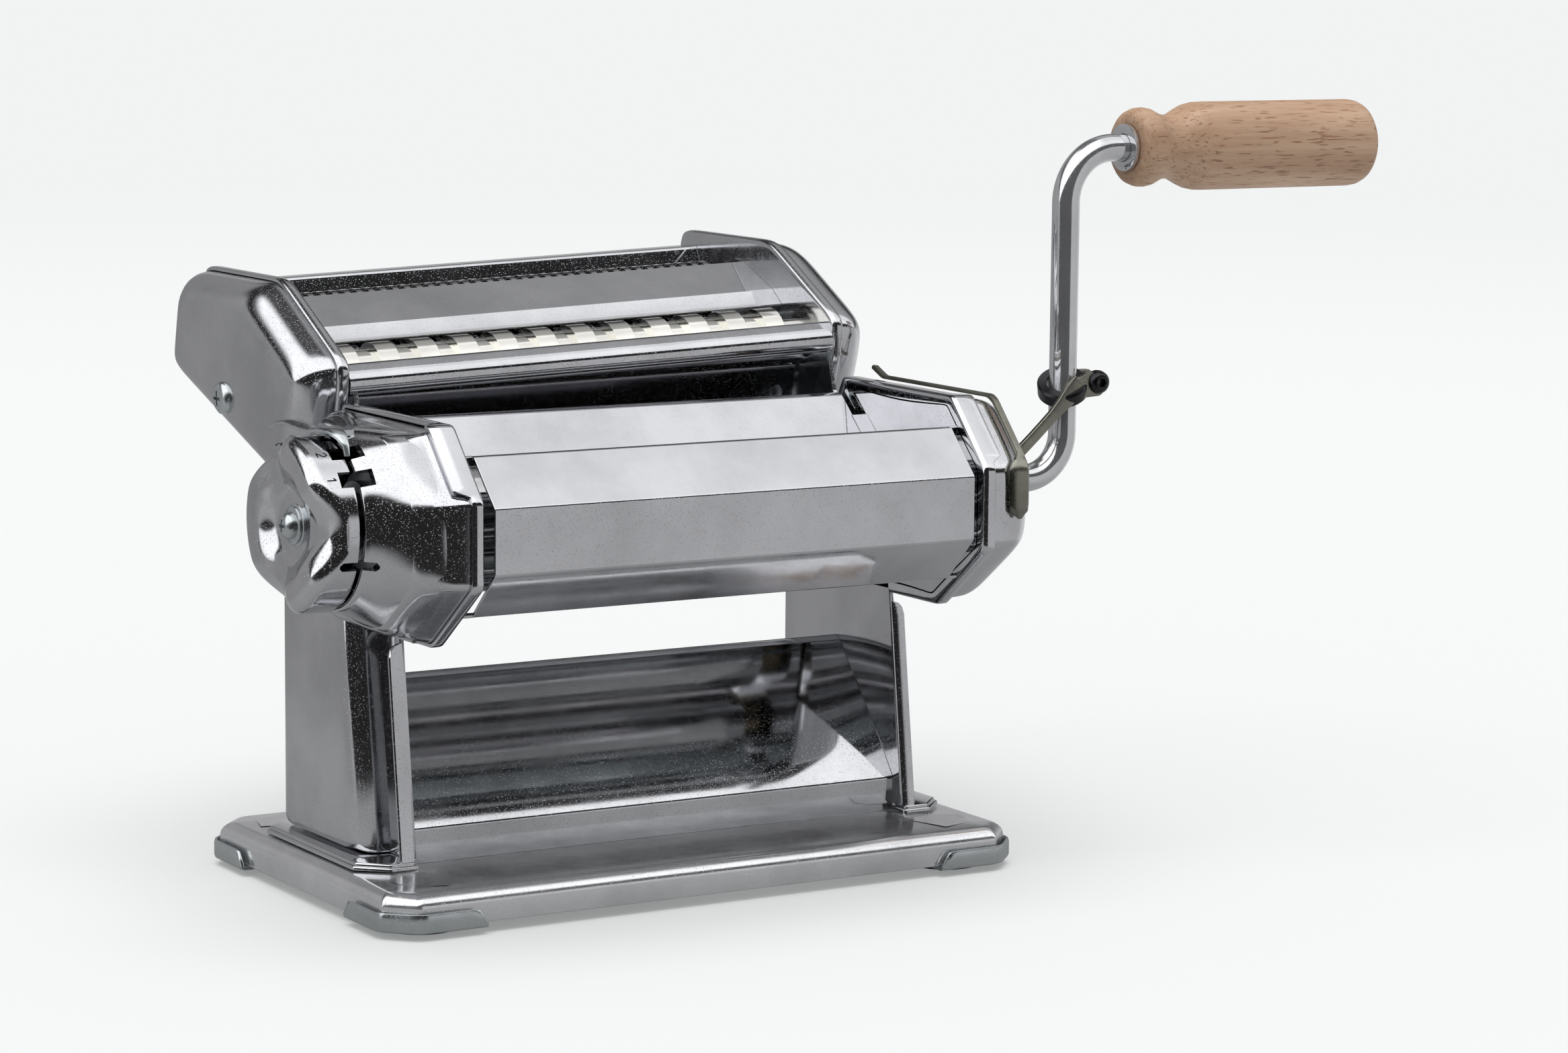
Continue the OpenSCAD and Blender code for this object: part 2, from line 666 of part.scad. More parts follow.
module wood_grip() {
  neck = grip_r - 3.9;
  collar = grip_r - 1.5;
  color("burlywood") translate([grip_in, drive_axis[0], grip_z]) rotate([0, 90, 0]) rotate_extrude()
    polygon(concat([[rod_hole_r, 0], [collar - 3, 0], [collar - 0.9, 1.2], [collar, 4.5],
      [collar - 0.4, 8], [collar - 1.8, 10.4], [neck + 0.5, 12.4], [neck, 14.5], [neck + 0.6, 16.6],
      [grip_r - 1.6, 20.5], [grip_r - 0.3, 23.5], [grip_r, 27]], [for (a = [0:15:90])
      [grip_r - 5 + 4.3 * cos(a), grip_l - 4.3 + 4.3 * sin(a)]],
      [[0, grip_l], [0, grip_l - 11], [rod_hole_r, grip_l - 11]]));
}

// ---------- cutter ----------
// the cutter hangs on its left hook and its right end is lifted
module tilted() {
  translate([-plate_in, 0, rod_places[0][1]]) rotate([0, -cutter_tilt, 0])
    translate([plate_in, 0, -rod_places[0][1]]) children();
}
module cutter_plate() {
  difference() {
    union() {
      along_x(plate_in, plate_out) polygon(rounded(inset(cutter, -cutter_rim), 5));
    }
    for (a = [wide_rear, wide_front, fine_rear, fine_front])
      bar(plate_in - 1, plate_out + 1, a, cutter_journal + run_gap);
    for (p = cutter_rod_places) bar(plate_in - 1, plate_out + 1, p, 2.5);
  }
}
module cutter_plate_left() { color(steel) mirror([1, 0, 0]) cutter_plate(); }
module cutter_plate_right() { color(steel) cutter_plate(); }
module cap_body() {
  difference() {
    deep_drawn(cutter, plate_out, cap_out, 7);
    deep_drawn(inset(cutter, sheet), plate_out - 1, cap_out - sheet, 7 - sheet);
  }
}
module cutter_cap_left() {
  color(steel) mirror([1, 0, 0]) difference() {
    cap_body();
    bar(cap_out - 3, cap_out + 1, left_screw, 2);
  }
}
module cutter_cap_right() {
  color(steel) difference() {
    cap_body();
    bar(cap_out - 3, cap_out + 1, right_screw, 2);
    for (a = [wide_rear, fine_rear]) bar(cap_out - 3, cap_out + 1, a, socket_r + 2);
  }
}
module cap_screw(at) {
  bar(plate_out, cap_out, at, 2);
  difference() {
    bar(cap_out, cap_out + 2.2, at, 4.4);
    for (a = [0, 90]) translate([cap_out + 2.2, at[0], at[1]]) rotate([a, 0, 0])
      cube([2, 1, 5], center = true);
  }
}
module cutter_screws() {
  color(zinc) {
    mirror([1, 0, 0]) cap_screw(left_screw);
    cap_screw(right_screw);
  }
}
module cutter_hooks() {
  seat = rod_places[0];
  color(zinc) mirror_x() {
    along_x(plate_in - hook_t - hook_gap, plate_in - hook_gap) difference() {
      polygon([seat + [-5.5, -hook_reach], seat + [-5.5, 2], seat + [1, 7], cutter[5] + [1, 6], cutter[5] + [9, 0],
        cutter[5] + [10, -17], seat + [9, -8], seat + [5, -hook_reach]]);
      circle_at(seat, tie_r + 0.1);
      translate(seat - [tie_r + 0.1, 10]) square([2 * tie_r + 0.2, 10]);
    }
    along_x(plate_in - hook_gap, plate_in) polygon([cutter[5] + [3, 0],
      cutter[5] + [9, 0], cutter[5] + [10, -14], cutter[5] + [8, -14]]);
  }
}
hook_t = 1.3;
// the hooks' legs reach down past the rods at the cutter's raised end
hook_reach = max(4, 2 * plate_in * tan(cutter_tilt) - 1.9);
hook_gap = 0.9;
module circle_at(p, r) { translate(p) circle(r = r); }
roll_r = 4.5;
module cutter_front() {
  c = [cutter[5][0] + 3.7, cutter[5][1] + 3.7];
  color(steel) difference() {
    sheet_part(concat([c + [roll_r, -1]], [for (a = [0:20:180]) c + roll_r * [cos(a), sin(a)]],
      [cutter[5] + [0.3, -0.5], cutter[0] + [0.8, 1.5], cutter[0] + [6, 3.6]]), cover_t, plate_in);
    // slots for the hooks
    mirror_x() translate([plate_in - hook_t - hook_gap - face_gap, cut_front - 5, cut_low + 11])
      cube([5, 17, 25]);
  }
}
module cutter_divider() {
  a = wide_rear + [-2, cutter_r + 1.6];
  b = wide_rear + [9, cutter_r + 4.6];
  color(steel) sheet_part([fine_rear + [-15.5, cutter_r + 0.6], b, a + [5, 1.5], a],
    cover_t, plate_in);
}
module cutter_rear() {
  top = cutter[2];
  color(steel) sheet_part([top + [-14, -9.4], top + [-7, -3.7], top + [-1.9, -3.7],
    cutter[1] + [-0.9, 0.6], cutter[1] + [-10, -2.6]], -cover_t, plate_in);
}
module cutter_rods() {
  color(zinc) for (p = cutter_rod_places) bar(-plate_out - 2, plate_out + 2, p, 2.5);
}
// roller with ridges of width w, the first one starting at x0
module cutter_roller(axis, w, shift, right_end, socket) {
  groove = cutter_r - cutter_mesh - 0.4;
  count = floor((2 * roller_end - shift - w) / (2 * w));
  color(steel) difference() {
    union() {
      bar(-roller_end, roller_end, axis, groove);
      for (i = [0:count]) let (x = -roller_end + shift + i * 2 * w)
        bar(x + 0.1, x + w - 0.1, axis, cutter_r);
      bar(-plate_out, right_end, axis, cutter_journal);
    }
    if (socket) bar(gear_in - 2, right_end + 1, axis, socket_r);
  }
}
socket_end = cap_out - sheet - 0.8;
plain_end = gear_in + gear_l + 0.5;
module wide_roller_rear() { cutter_roller(wide_rear, wide_w, 0, socket_end, true); }
module wide_roller_front() { cutter_roller(wide_front, wide_w, wide_w, plain_end, false); }
module fine_roller_rear() { cutter_roller(fine_rear, fine_w, 0, socket_end, true); }
module fine_roller_front() { cutter_roller(fine_front, fine_w, fine_w, plain_end, false); }
cutter_gear_l = 5;
module cutter_gear(axis, turn) {
  color("dimgray") translate([0, axis[0], axis[1]]) rotate([turn, 0, 0])
    along_x(gear_in, gear_in + cutter_gear_l) difference() {
      polygon(ring_teeth(cutter_teeth, cutter_root, cutter_tip));
      circle(r = cutter_journal);
    }
}
module wide_gear_rear() { cutter_gear(wide_rear, wide_fall + 180); }
module wide_gear_front() { cutter_gear(wide_front, wide_fall + 180 / cutter_teeth); }
module fine_gear_rear() { cutter_gear(fine_rear, fine_fall + 180); }
module fine_gear_front() { cutter_gear(fine_front, fine_fall + 180 / cutter_teeth); }
module comb(axis, angle) {
  color(zinc) translate([0, axis[0], axis[1]]) rotate([angle, 0, 0])
    translate([-plate_in, cutter_r + face_gap, -0.5]) cube([2 * plate_in, 7, 1]);
}
module wide_comb() { comb(wide_rear, -35); }
module fine_comb() { comb(fine_rear, -50); }

// puts the front left foot over the origin
module placed() {
  translate([base_w / 2 - foot_r - 5, base_d / 2 - foot_r - 5, 0]) children();
}

placed() base_tray();
placed() corner_brackets();
placed() rubber_feet();
placed() foot_plates();
placed() side_plate_left();
placed() side_plate_right();
placed() side_shell_left();
placed() side_shell_right();
placed() chute();
placed() front_cover();
placed() rear_cover();
placed() hopper_plate();
placed() tie_rods();
placed() tie_nuts();
placed() drive_bushes();
placed() fixed_scraper();
placed() drive_roller();
placed() drive_gear();
placed() bearing_blocks();
placed() moving_scraper();
placed() adjust_roller();
placed() adjust_gear();
placed() knob_bush();
placed() eccentric();
placed() knob_shaft();
placed() knob_spring();
placed() knob_cup();
placed() knob_screw();
placed() index_tab();
placed() strap_band();
placed() strap_ring();
placed() strap_screw();
placed() crank_rod();
placed() grip_washer();
placed() wood_grip();
placed() tilted() cutter_plate_left();
placed() tilted() cutter_plate_right();
placed() tilted() cutter_cap_left();
placed() tilted() cutter_cap_right();
placed() tilted() cutter_hooks();
placed() tilted() cutter_front();
placed() tilted() cutter_divider();
placed() tilted() cutter_rear();
placed() tilted() cutter_rods();
placed() tilted() cutter_screws();
placed() tilted() wide_roller_rear();
placed() tilted() wide_roller_front();
placed() tilted() fine_roller_rear();
placed() tilted() fine_roller_front();
placed() tilted() wide_gear_rear();
placed() tilted() wide_gear_front();
placed() tilted() fine_gear_rear();
placed() tilted() fine_gear_front();
placed() tilted() wide_comb();
placed() tilted() fine_comb();
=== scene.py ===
import math

import bmesh
import bpy
from mathutils import Matrix, Vector

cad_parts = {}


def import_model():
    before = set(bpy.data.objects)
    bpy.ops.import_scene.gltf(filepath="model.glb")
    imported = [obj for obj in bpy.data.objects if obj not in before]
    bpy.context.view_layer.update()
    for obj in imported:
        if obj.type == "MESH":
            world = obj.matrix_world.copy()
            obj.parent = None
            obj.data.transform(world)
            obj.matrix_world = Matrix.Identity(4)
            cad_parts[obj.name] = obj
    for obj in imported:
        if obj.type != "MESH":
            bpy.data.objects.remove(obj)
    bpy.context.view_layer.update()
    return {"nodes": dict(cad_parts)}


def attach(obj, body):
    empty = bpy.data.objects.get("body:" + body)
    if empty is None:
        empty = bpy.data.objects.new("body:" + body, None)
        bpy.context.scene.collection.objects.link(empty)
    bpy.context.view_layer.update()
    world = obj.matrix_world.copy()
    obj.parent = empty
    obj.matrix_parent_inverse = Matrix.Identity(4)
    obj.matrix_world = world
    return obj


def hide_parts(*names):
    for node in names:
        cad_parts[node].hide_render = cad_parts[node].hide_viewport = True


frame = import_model()
NODES = frame["nodes"]
MM = 0.001
TAU = 2 * math.pi
# the scene is drawn from the middle of the base; the CAD frame starts at the front left foot
OFF = Vector((86.5, 46.5, 0.0)) * MM


# ---------- side-view geometry, in millimetres as (y, z) ----------
def add(a, b, s=1.0):
    """a plus s times b."""
    return (a[0] + b[0] * s, a[1] + b[1] * s)


def unit(v):
    """The direction of v."""
    n = math.hypot(*v)
    return (v[0] / n, v[1] / n)


def corner(a, b, c):
    """Directions from b to a and to c, and half the angle between them."""
    u, v = unit(add(a, b, -1)), unit(add(c, b, -1))
    return u, v, math.acos(max(-1, min(1, u[0] * v[0] + u[1] * v[1]))) / 2


def fillet(b, u, v, half, r, n):
    """Arc of radius r in n steps, which touches both sides of the corner at b."""
    t = r / math.tan(half)
    p, q, m = add(b, u, t), add(b, v, t), add(b, unit(add(u, v)), r / math.sin(half))
    start = math.atan2(p[1] - m[1], p[0] - m[0])
    turn = (math.atan2(q[1] - m[1], q[0] - m[0]) - start + math.pi) % TAU - math.pi
    return [(m[0] + r * math.cos(start + turn * k / n), m[1] + r * math.sin(start + turn * k / n))
            for k in range(n + 1)]


def inset(pts, d):
    """Closed outline moved inwards by d."""
    out = []
    for i, p in enumerate(pts):
        u, v, half = corner(pts[i - 1], p, pts[(i + 1) % len(pts)])
        out.append(add(p, unit(add(u, v)), d / math.sin(half)))
    return out


def rounded(pts, r, n):
    """Closed outline with every corner rounded in n steps; r is a radius, or a list with one for each."""
    out = []
    for i, p in enumerate(pts):
        ri = r[i] if isinstance(r, list) else r
        out += fillet(p, *corner(pts[i - 1], p, pts[(i + 1) % len(pts)]), ri, n)
    return out


def bent(path, r, n=5):
    """Open path whose inner corners are rounded with radius r, or as much as fits."""
    out = [path[0]]
    for a, b, c in zip(path, path[1:], path[2:]):
        u, v, half = corner(a, b, c)
        # nearly straight on
        if half > 1.5:
            out.append(b)
            continue
        room = min(math.dist(a, b), math.dist(b, c)) * 0.48
        out += fillet(b, u, v, half, min(r, room * math.tan(half)), n)
    return out + [path[-1]]


def ribbon(path, t):
    """The path and its copy t to the left, as a closed outline."""
    back = []
    for i in reversed(range(len(path))):
        a = unit(add(path[min(i + 1, len(path) - 1)], path[min(i, len(path) - 2)], -1))
        b = unit(add(path[max(i, 1)], path[max(i - 1, 0)], -1))
        m = unit(add(a, b))
        s = t / max(0.3, m[0] * a[0] + m[1] * a[1])
        back.append((path[i][0] - s * m[1], path[i][1] + s * m[0]))
    return list(path) + back


def spaced(path, step):
    """The path with extra points, no more than about a step apart."""
    out = []
    for a, b in zip(path, path[1:]):
        n = max(1, int(math.dist(a, b) / step))
        out += [add(a, add(b, a, -1), k / n) for k in range(n)]
    return out + [path[-1]]


def stations(path):
    """How far along the path each of its points lies."""
    out = [0.0]
    for a, b in zip(path, path[1:]):
        out.append(out[-1] + math.dist(a, b))
    return out


def heading(path, i):
    """Direction of the path at point i."""
    return unit(add(path[min(i + 1, len(path) - 1)], path[max(i - 1, 0)], -1))


def smooth(t):
    """0 to 1 with soft ends."""
    t = max(0.0, min(1.0, t))
    return t * t * (3 - 2 * t)


def gauge(pts, c, ang, p, d=0.0):
    """Distance from c to the outline, moved inwards by d, in a direction; a low p rounds the corners."""
    e = (math.cos(ang), math.sin(ang))
    # a typical distance, which keeps the powers in range
    near = 20
    total = 0.0
    for i, a in enumerate(pts):
        b = pts[(i + 1) % len(pts)]
        t = unit(add(b, a, -1))
        nor = (t[1], -t[0])
        h = (a[0] - c[0]) * nor[0] + (a[1] - c[1]) * nor[1]
        if h < 0:
            nor, h = (-nor[0], -nor[1]), -h
        k = (nor[0] * e[0] + nor[1] * e[1]) / (h - d)
        if k > 0:
            total += (k * near) ** p
    return near / total ** (1 / p)


# ---------- meshes ----------
def grid(rows, loop=False, caps=(False, False)):
    """Quads between closed rows of points; loop joins the last row to the first."""
    n, m = len(rows), len(rows[0])
    verts = [p for row in rows for p in row]
    faces = []
    for i in range(n if loop else n - 1):
        a, b = i * m, ((i + 1) % n) * m
        for j in range(m):
            k = (j + 1) % m
            faces.append((a + j, a + k, b + k, b + j))
    if caps[0]:
        faces.append(tuple(range(m - 1, -1, -1)))
    if caps[1]:
        faces.append(tuple(range((n - 1) * m, n * m)))
    return verts, faces


def slab(outline, x0, x1, edge):
    """Side-view outline extruded along X, with small rounded edges."""
    rows = []
    for x, d in ((x0, edge), (x0 + edge * 0.3, edge * 0.3), (x0 + edge, 0),
                 (x1 - edge, 0), (x1 - edge * 0.3, edge * 0.3), (x1, edge)):
        o = inset(outline, d) if d else outline
        rows.append([(x, y, z) for y, z in o])
    return grid(rows, caps=(True, True))


def sheet(path, t, x0, x1, r):
    """Sheet of thickness t along X, bent with radius r."""
    o = ribbon(bent(path, r), t)
    return grid([[(x, y, z) for y, z in o] for x in (x0, x1)], caps=(True, True))


def lathe(profile, centre, axis, n, close=False):
    """Profile points (along, radius) turned about an axis through centre; close joins its ends."""
    rows = []
    for a, r in profile:
        ring = []
        for k in range(n):
            p = [centre[0] + r * math.cos(TAU * k / n), centre[1] + r * math.sin(TAU * k / n)]
            p.insert("xyz".index(axis), a)
            ring.append(tuple(p))
        rows.append(ring)
    return grid(rows, loop=close, caps=(not close, not close))


def moved(part, m):
    """The part placed by a matrix."""
    return [tuple(m @ Vector(v)) for v in part[0]], part[1]


def mirrored(part):
    """The part on the other side of the machine."""
    return [(-v[0], v[1], v[2]) for v in part[0]], part[1]


def solid(parts):
    """Parts in millimetres as one editable mesh in the shared frame."""
    bm = bmesh.new()
    for verts, faces in parts:
        vs = [bm.verts.new(Vector(v) * MM + OFF) for v in verts]
        for f in faces:
            bm.faces.new([vs[i] for i in f])
    return bm


def finished(name, bm):
    """Plain mesh made from an editable one."""
    me = bpy.data.meshes.new(name)
    bm.to_mesh(me)
    bm.free()
    return me


def new_object(name, data):
    """Object in the scene that holds a mesh, a lamp or a camera."""
    ob = bpy.data.objects.new(name, data)
    bpy.context.scene.collection.objects.link(ob)
    return ob


def piece(name, parts, mat, body, rep=(), sharp=32, bevel=0.0):
    """One mesh object from several parts; it rides on its body and may replace CAD nodes."""
    bm = solid(parts)
    bmesh.ops.remove_doubles(bm, verts=bm.verts, dist=2e-6)
    bmesh.ops.recalc_face_normals(bm, faces=bm.faces)
    limit = math.radians(sharp)
    for e in bm.edges:
        e.smooth = e.calc_face_angle(0.0) < limit
    for f in bm.faces:
        f.smooth = True
    me = finished(name, bm)
    ob = new_object(name, me)
    me.materials.append(mat)
    if bevel:
        b = ob.modifiers.new("edge", "BEVEL")
        b.width, b.segments, b.limit_method = bevel * MM, 2, "ANGLE"
        b.angle_limit = math.radians(40)
        b.harden_normals = True
    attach(ob, body)
    if rep:
        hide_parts(*rep)
    return ob


def cut(ob, parts):
    """Takes the parts away from a piece."""
    bm = solid(parts)
    bmesh.ops.recalc_face_normals(bm, faces=bm.faces)
    tool = new_object("tool", finished("tool", bm))
    mod = ob.modifiers.new("cut", "BOOLEAN")
    mod.operation, mod.object, mod.solver = "DIFFERENCE", tool, "EXACT"
    dg = bpy.context.evaluated_depsgraph_get()
    made = bpy.data.meshes.new_from_object(ob.evaluated_get(dg))
    ob.modifiers.remove(mod)
    ob.data = made
    bpy.data.objects.remove(tool)


# ---------- materials ----------
def feed(nt, value, socket):
    """Sets a socket to a number or a colour or vector, or links another socket to it."""
    if isinstance(value, (int, float)):
        socket.default_value = value
    elif isinstance(value, tuple):
        socket.default_value = (*value, 1)[:len(socket.default_value)]
    else:
        nt.links.new(value, socket)


def node(nt, kind, **inputs):
    """New shader node; its inputs are set or linked by name, with _ for a space."""
    n = nt.nodes.new("ShaderNode" + kind)
    for key, value in inputs.items():
        feed(nt, value, n.inputs[key.replace("_", " ")])
    return n


def empty_tree(owner):
    """The cleared node tree of a material or of the world."""
    owner.use_nodes = True
    owner.node_tree.nodes.clear()
    return owner.node_tree


def tree(name):
    """New material with its node tree, its plain surface shader and the object's coordinates."""
    m = bpy.data.materials.new(name)
    nt = empty_tree(m)
    sh = node(nt, "BsdfPrincipled")
    node(nt, "OutputMaterial", Surface=sh.outputs[0])
    return m, nt, sh, node(nt, "TexCoord").outputs["Object"]


def noise(nt, tc, scale, detail, rough=0.5, stretch=(1, 1, 1)):
    """Noise over the coordinates, scaled per axis by stretch."""
    at = node(nt, "Mapping", Vector=tc, Scale=stretch).outputs[0]
    return node(nt, "TexNoise", Vector=at, Scale=scale, Detail=detail, Roughness=rough).outputs[0]


def ramp(nt, src, stops):
    """Colour ramp with stops given as (position, colour)."""
    r = node(nt, "ValToRGB")
    e = r.color_ramp.elements
    while len(e) < len(stops):
        e.new(0.5)
    for el, (p, c) in zip(e, stops):
        el.position, el.color = p, (*c, 1)
    nt.links.new(src, r.inputs[0])
    return r.outputs[0]


def chosen(nt, factor, a, b, blend="MIX"):
    """Colour a where the factor is 0; where it is 1, b or another blend of the two."""
    m = node(nt, "Mix")
    m.data_type, m.blend_type = "RGBA", blend
    for i, value in ((0, factor), (6, a), (7, b)):
        feed(nt, value, m.inputs[i])
    return m.outputs[2]


def bump(nt, sh, layers, bevel=0.0):
    """Chain of bumps given as (height socket, strength, distance), after edges softened by bevel metres."""
    last = None
    if bevel:
        b = node(nt, "Bevel", Radius=bevel)
        b.samples = 6
        last = b.outputs[0]
    for h, strength, dist in layers:
        b = node(nt, "Bump", Height=h, Strength=strength, Distance=dist)
        if last is not None:
            nt.links.new(last, b.inputs["Normal"])
        last = b.outputs[0]
    nt.links.new(last, sh.inputs["Normal"])


def metal(name, colour, rough, wave, pits, dark=None, bevel=0.0, grain=False, metallic=1.0):
    """Metal with wavy reflections, fine pitting, and a roughness that varies."""
    m, nt, sh, tc = tree(name)
    dark = dark or tuple(c * 0.82 for c in colour)
    varied = node(nt, "MapRange", Value=noise(nt, tc, 60, 4, 0.65), From_Min=0.35, From_Max=0.75,
                  To_Min=rough * 0.7, To_Max=rough * 1.5).outputs[0]
    clouds = ramp(nt, noise(nt, tc, 34, 4, 0.6), [(0.3, dark), (0.62, colour)])
    for key, value in (("Metallic", metallic), ("Base Color", clouds), ("Roughness", varied)):
        feed(nt, value, sh.inputs[key])
    spots = ramp(nt, noise(nt, tc, 2600, 1), [(0.66, (0, 0, 0)), (0.74, (1, 1, 1))])
    layers = [(noise(nt, tc, 16, 2), 1.0, wave * 1e-3), (noise(nt, tc, 1500, 2), pits * 0.25, 2e-5),
              (spots, pits, 4e-5)]
    if grain:
        layers.append((noise(nt, tc, 900, 3, 0.6), 0.6, 4e-5))
    bump(nt, sh, layers, bevel)
    return m


def wood():
    """Beech, with its grain along X and short dark flecks."""
    m, nt, sh, tc = tree("beech")
    soft = ramp(nt, noise(nt, tc, 30, 5, 0.6, (0.35, 2.2, 2.2)),
                [(0.3, (0.42, 0.262, 0.166)), (0.5, (0.50, 0.325, 0.212)), (0.7, (0.58, 0.40, 0.275))])
    fine = ramp(nt, noise(nt, tc, 260, 3, 0.6, (0.09, 2.0, 2.0)),
                [(0.35, (0.86, 0.80, 0.74)), (0.62, (1, 1, 1))])
    fleck = ramp(nt, noise(nt, tc, 1150, 1, 0.5, (0.13, 1.4, 1.4)),
                 [(0.33, (0.52, 0.38, 0.29)), (0.385, (1, 1, 1))])
    grained = chosen(nt, 0.8, chosen(nt, 0.9, soft, fine, "MULTIPLY"), fleck, "MULTIPLY")
    for key, value in (("Roughness", 0.5), ("Specular IOR Level", 0.6), ("Base Color", grained)):
        feed(nt, value, sh.inputs[key])
    bump(nt, sh, [(fine, 0.25, 1e-4), (fleck, 0.4, 1e-4)])
    return m


def rubber():
    """Dull black rubber with a fine grain."""
    m, nt, sh, tc = tree("rubber")
    n = noise(nt, tc, 700, 4)
    feed(nt, ramp(nt, n, [(0.3, (0.012, 0.012, 0.013)), (0.7, (0.03, 0.03, 0.031))]), sh.inputs["Base Color"])
    feed(nt, 0.62, sh.inputs["Roughness"])
    bump(nt, sh, [(n, 0.5, 1e-4)])
    return m


# chrome: flat sheet, satin for the drawn shells, and with softened edges for plain CAD solids
CHROME_COLOUR = (0.63, 0.635, 0.655)
CHROME = metal("chrome", CHROME_COLOUR, 0.07, wave=0.035, pits=0.4)
SOFT = metal("chrome_satin", CHROME_COLOUR, 0.115, wave=0.05, pits=0.9)
CHROME_CAD = metal("chrome_edges", CHROME_COLOUR, 0.07, wave=0.035, pits=0.35, bevel=4e-4)
BASE_METAL = metal("chrome_tray", (0.80, 0.805, 0.82), 0.17, wave=0.05, pits=1.0, metallic=0.86)
POLISHED = metal("rod_chrome", (0.72, 0.725, 0.74), 0.035, wave=0.03, pits=0.3, metallic=0.84)
ROLLER = metal("roller_metal", (0.56, 0.56, 0.565), 0.10, wave=0.05, pits=0.3, bevel=2e-4)
RIDGES = metal("ridge_metal", (0.80, 0.79, 0.74), 0.10, wave=0.0, pits=0.2, bevel=1e-4)
ZINC = metal("zinc", (0.62, 0.66, 0.67), 0.24, wave=0.15, pits=1.0, bevel=2e-4)
DARK = metal("dark_metal", (0.10, 0.10, 0.105), 0.35, wave=0.1, pits=0.8, bevel=2e-4)
BRONZE = metal("bronze", (0.20, 0.155, 0.10), 0.34, wave=0.1, pits=0.8, bevel=2e-4)
STRAP = metal("strap", (0.30, 0.295, 0.25), 0.30, dark=(0.17, 0.165, 0.14), wave=0.1, pits=1.0, grain=True)
BLACKED = metal("blacked", (0.045, 0.045, 0.048), 0.28, wave=0.1, pits=0.8)
INK = metal("ink", (0.02, 0.02, 0.022), 0.4, wave=0.0, pits=0.3)
WOOD = wood()
RUBBER = rubber()

# materials of the CAD nodes, most of which lie behind the covers
LOOK = {
    "roller_steel": (ROLLER, ["drive_roller", "adjust_roller", "fine_roller_rear", "fine_roller_front"]),
    "zinc_steel": (ZINC, ["tie_rods", "tie_nuts", "fixed_scraper", "moving_scraper", "knob_bush",
                          "cutter_hooks", "cutter_rods", "cutter_screws", "wide_comb", "fine_comb"]),
    "dark_steel": (DARK, ["drive_gear", "adjust_gear", "eccentric", "knob_shaft", "knob_spring",
                          "wide_gear_rear", "wide_gear_front", "fine_gear_rear", "fine_gear_front"]),
    "bush_bronze": (BRONZE, ["drive_bushes", "bearing_blocks"]),
}
for ob in NODES.values():
    ob.data.materials.clear()
    ob.data.materials.append(CHROME_CAD)
for mat, names in LOOK.values():
    for n in names:
        NODES[n].data.materials[0] = mat
for n in ("wide_roller_rear", "wide_roller_front"):
    NODES[n].data.materials[0] = RIDGES
NODES["crank_rod"].data.materials[0] = POLISHED

# ---------- sizes from the CAD source: outlines as (y, z), places along X and radii ----------
CASING = [(-74.5, 97.7), (-74.5, 121.8), (-56.5, 141), (4.5, 141), (15.5, 121.8), (15.5, 97.7),
          (-1.5, 78.5), (-49.5, 78.5)]
CASING_MID = (-29.5, 109.7)
PLATE_POST = [(-32, 15.2), (-23.5, 82.5), (36, 82.5), (36, 15.2)]
BASE_X, BASE_Y, BASE_CORNER = 102.5, 62.5, 8.0
KNOB, KNOB_R = (-40.5, 114.0), 24.3
DRIVE = (-13.39, 108.73)
GRIP_Z = 209.23
PLATE_IN, PLATE_OUT, RIM_OUT, SHELL_OUT, POST_OUT = 80.5, 82.0, 85.5, 102.0, 92.0
# thickness of the pressed shells
T = 1.2


# ---------- base ----------
def base_tray():
    """Pressed tray with a rounded edge and a hollow underside."""
    w, d, c = BASE_X, BASE_Y, BASE_CORNER
    out = [(-w + c, -d), (w - c, -d), (w, -d + c), (w, d - c), (w - c, d), (-w + c, d), (-w, d - c),
           (-w, -d + c)]
    # radius of the top edge
    r = 4.4
    quarter = [math.pi / 2 * k / 8 for k in range(9)]
    side = [(3.2, 0.25), (3.4, 0.05), (3.9, 0)]
    side += [(13.2 - r + r * math.sin(a), r - r * math.cos(a)) for a in quarter]
    rows = [[(x, y, z) for x, y in rounded(inset(out, i), 2.2 + i * 0.6, 6)] for z, i in side]
    # the top falls a little towards its edges
    rows = [[(x, y, z - 0.55 * smooth((z - 8) / 5)) for x, y, z in row] for row in rows]
    for i, z in ((r + 5, 12.80), (r + 10, 12.98), (r + 16, 13.12), (r + 22, 13.2)):
        rows.append([(x, y, z) for x, y in rounded(inset(out, i), 4, 6)])
    inner = []
    for z, i in [(12.0, r + 4), (12.0, r + T), (11.2, 2.6), (8.6, T), (3.2, T)]:
        inner.append([(x, y, z) for x, y in rounded(inset(out, i), 2 + i * 0.5, 6)])
    top = grid(rows, caps=(False, True))
    under = grid(inner, caps=(True, False))
    rim = grid([rows[0], inner[-1]])
    ob = piece("base_tray_pressed", [top, under, rim], BASE_METAL, "machine", ["base_tray"])
    # hole for the table clamp
    cut(ob, [lathe([(50, 3.5), (80, 3.5)], (0, 7.1), "y", 32)])


base_tray()


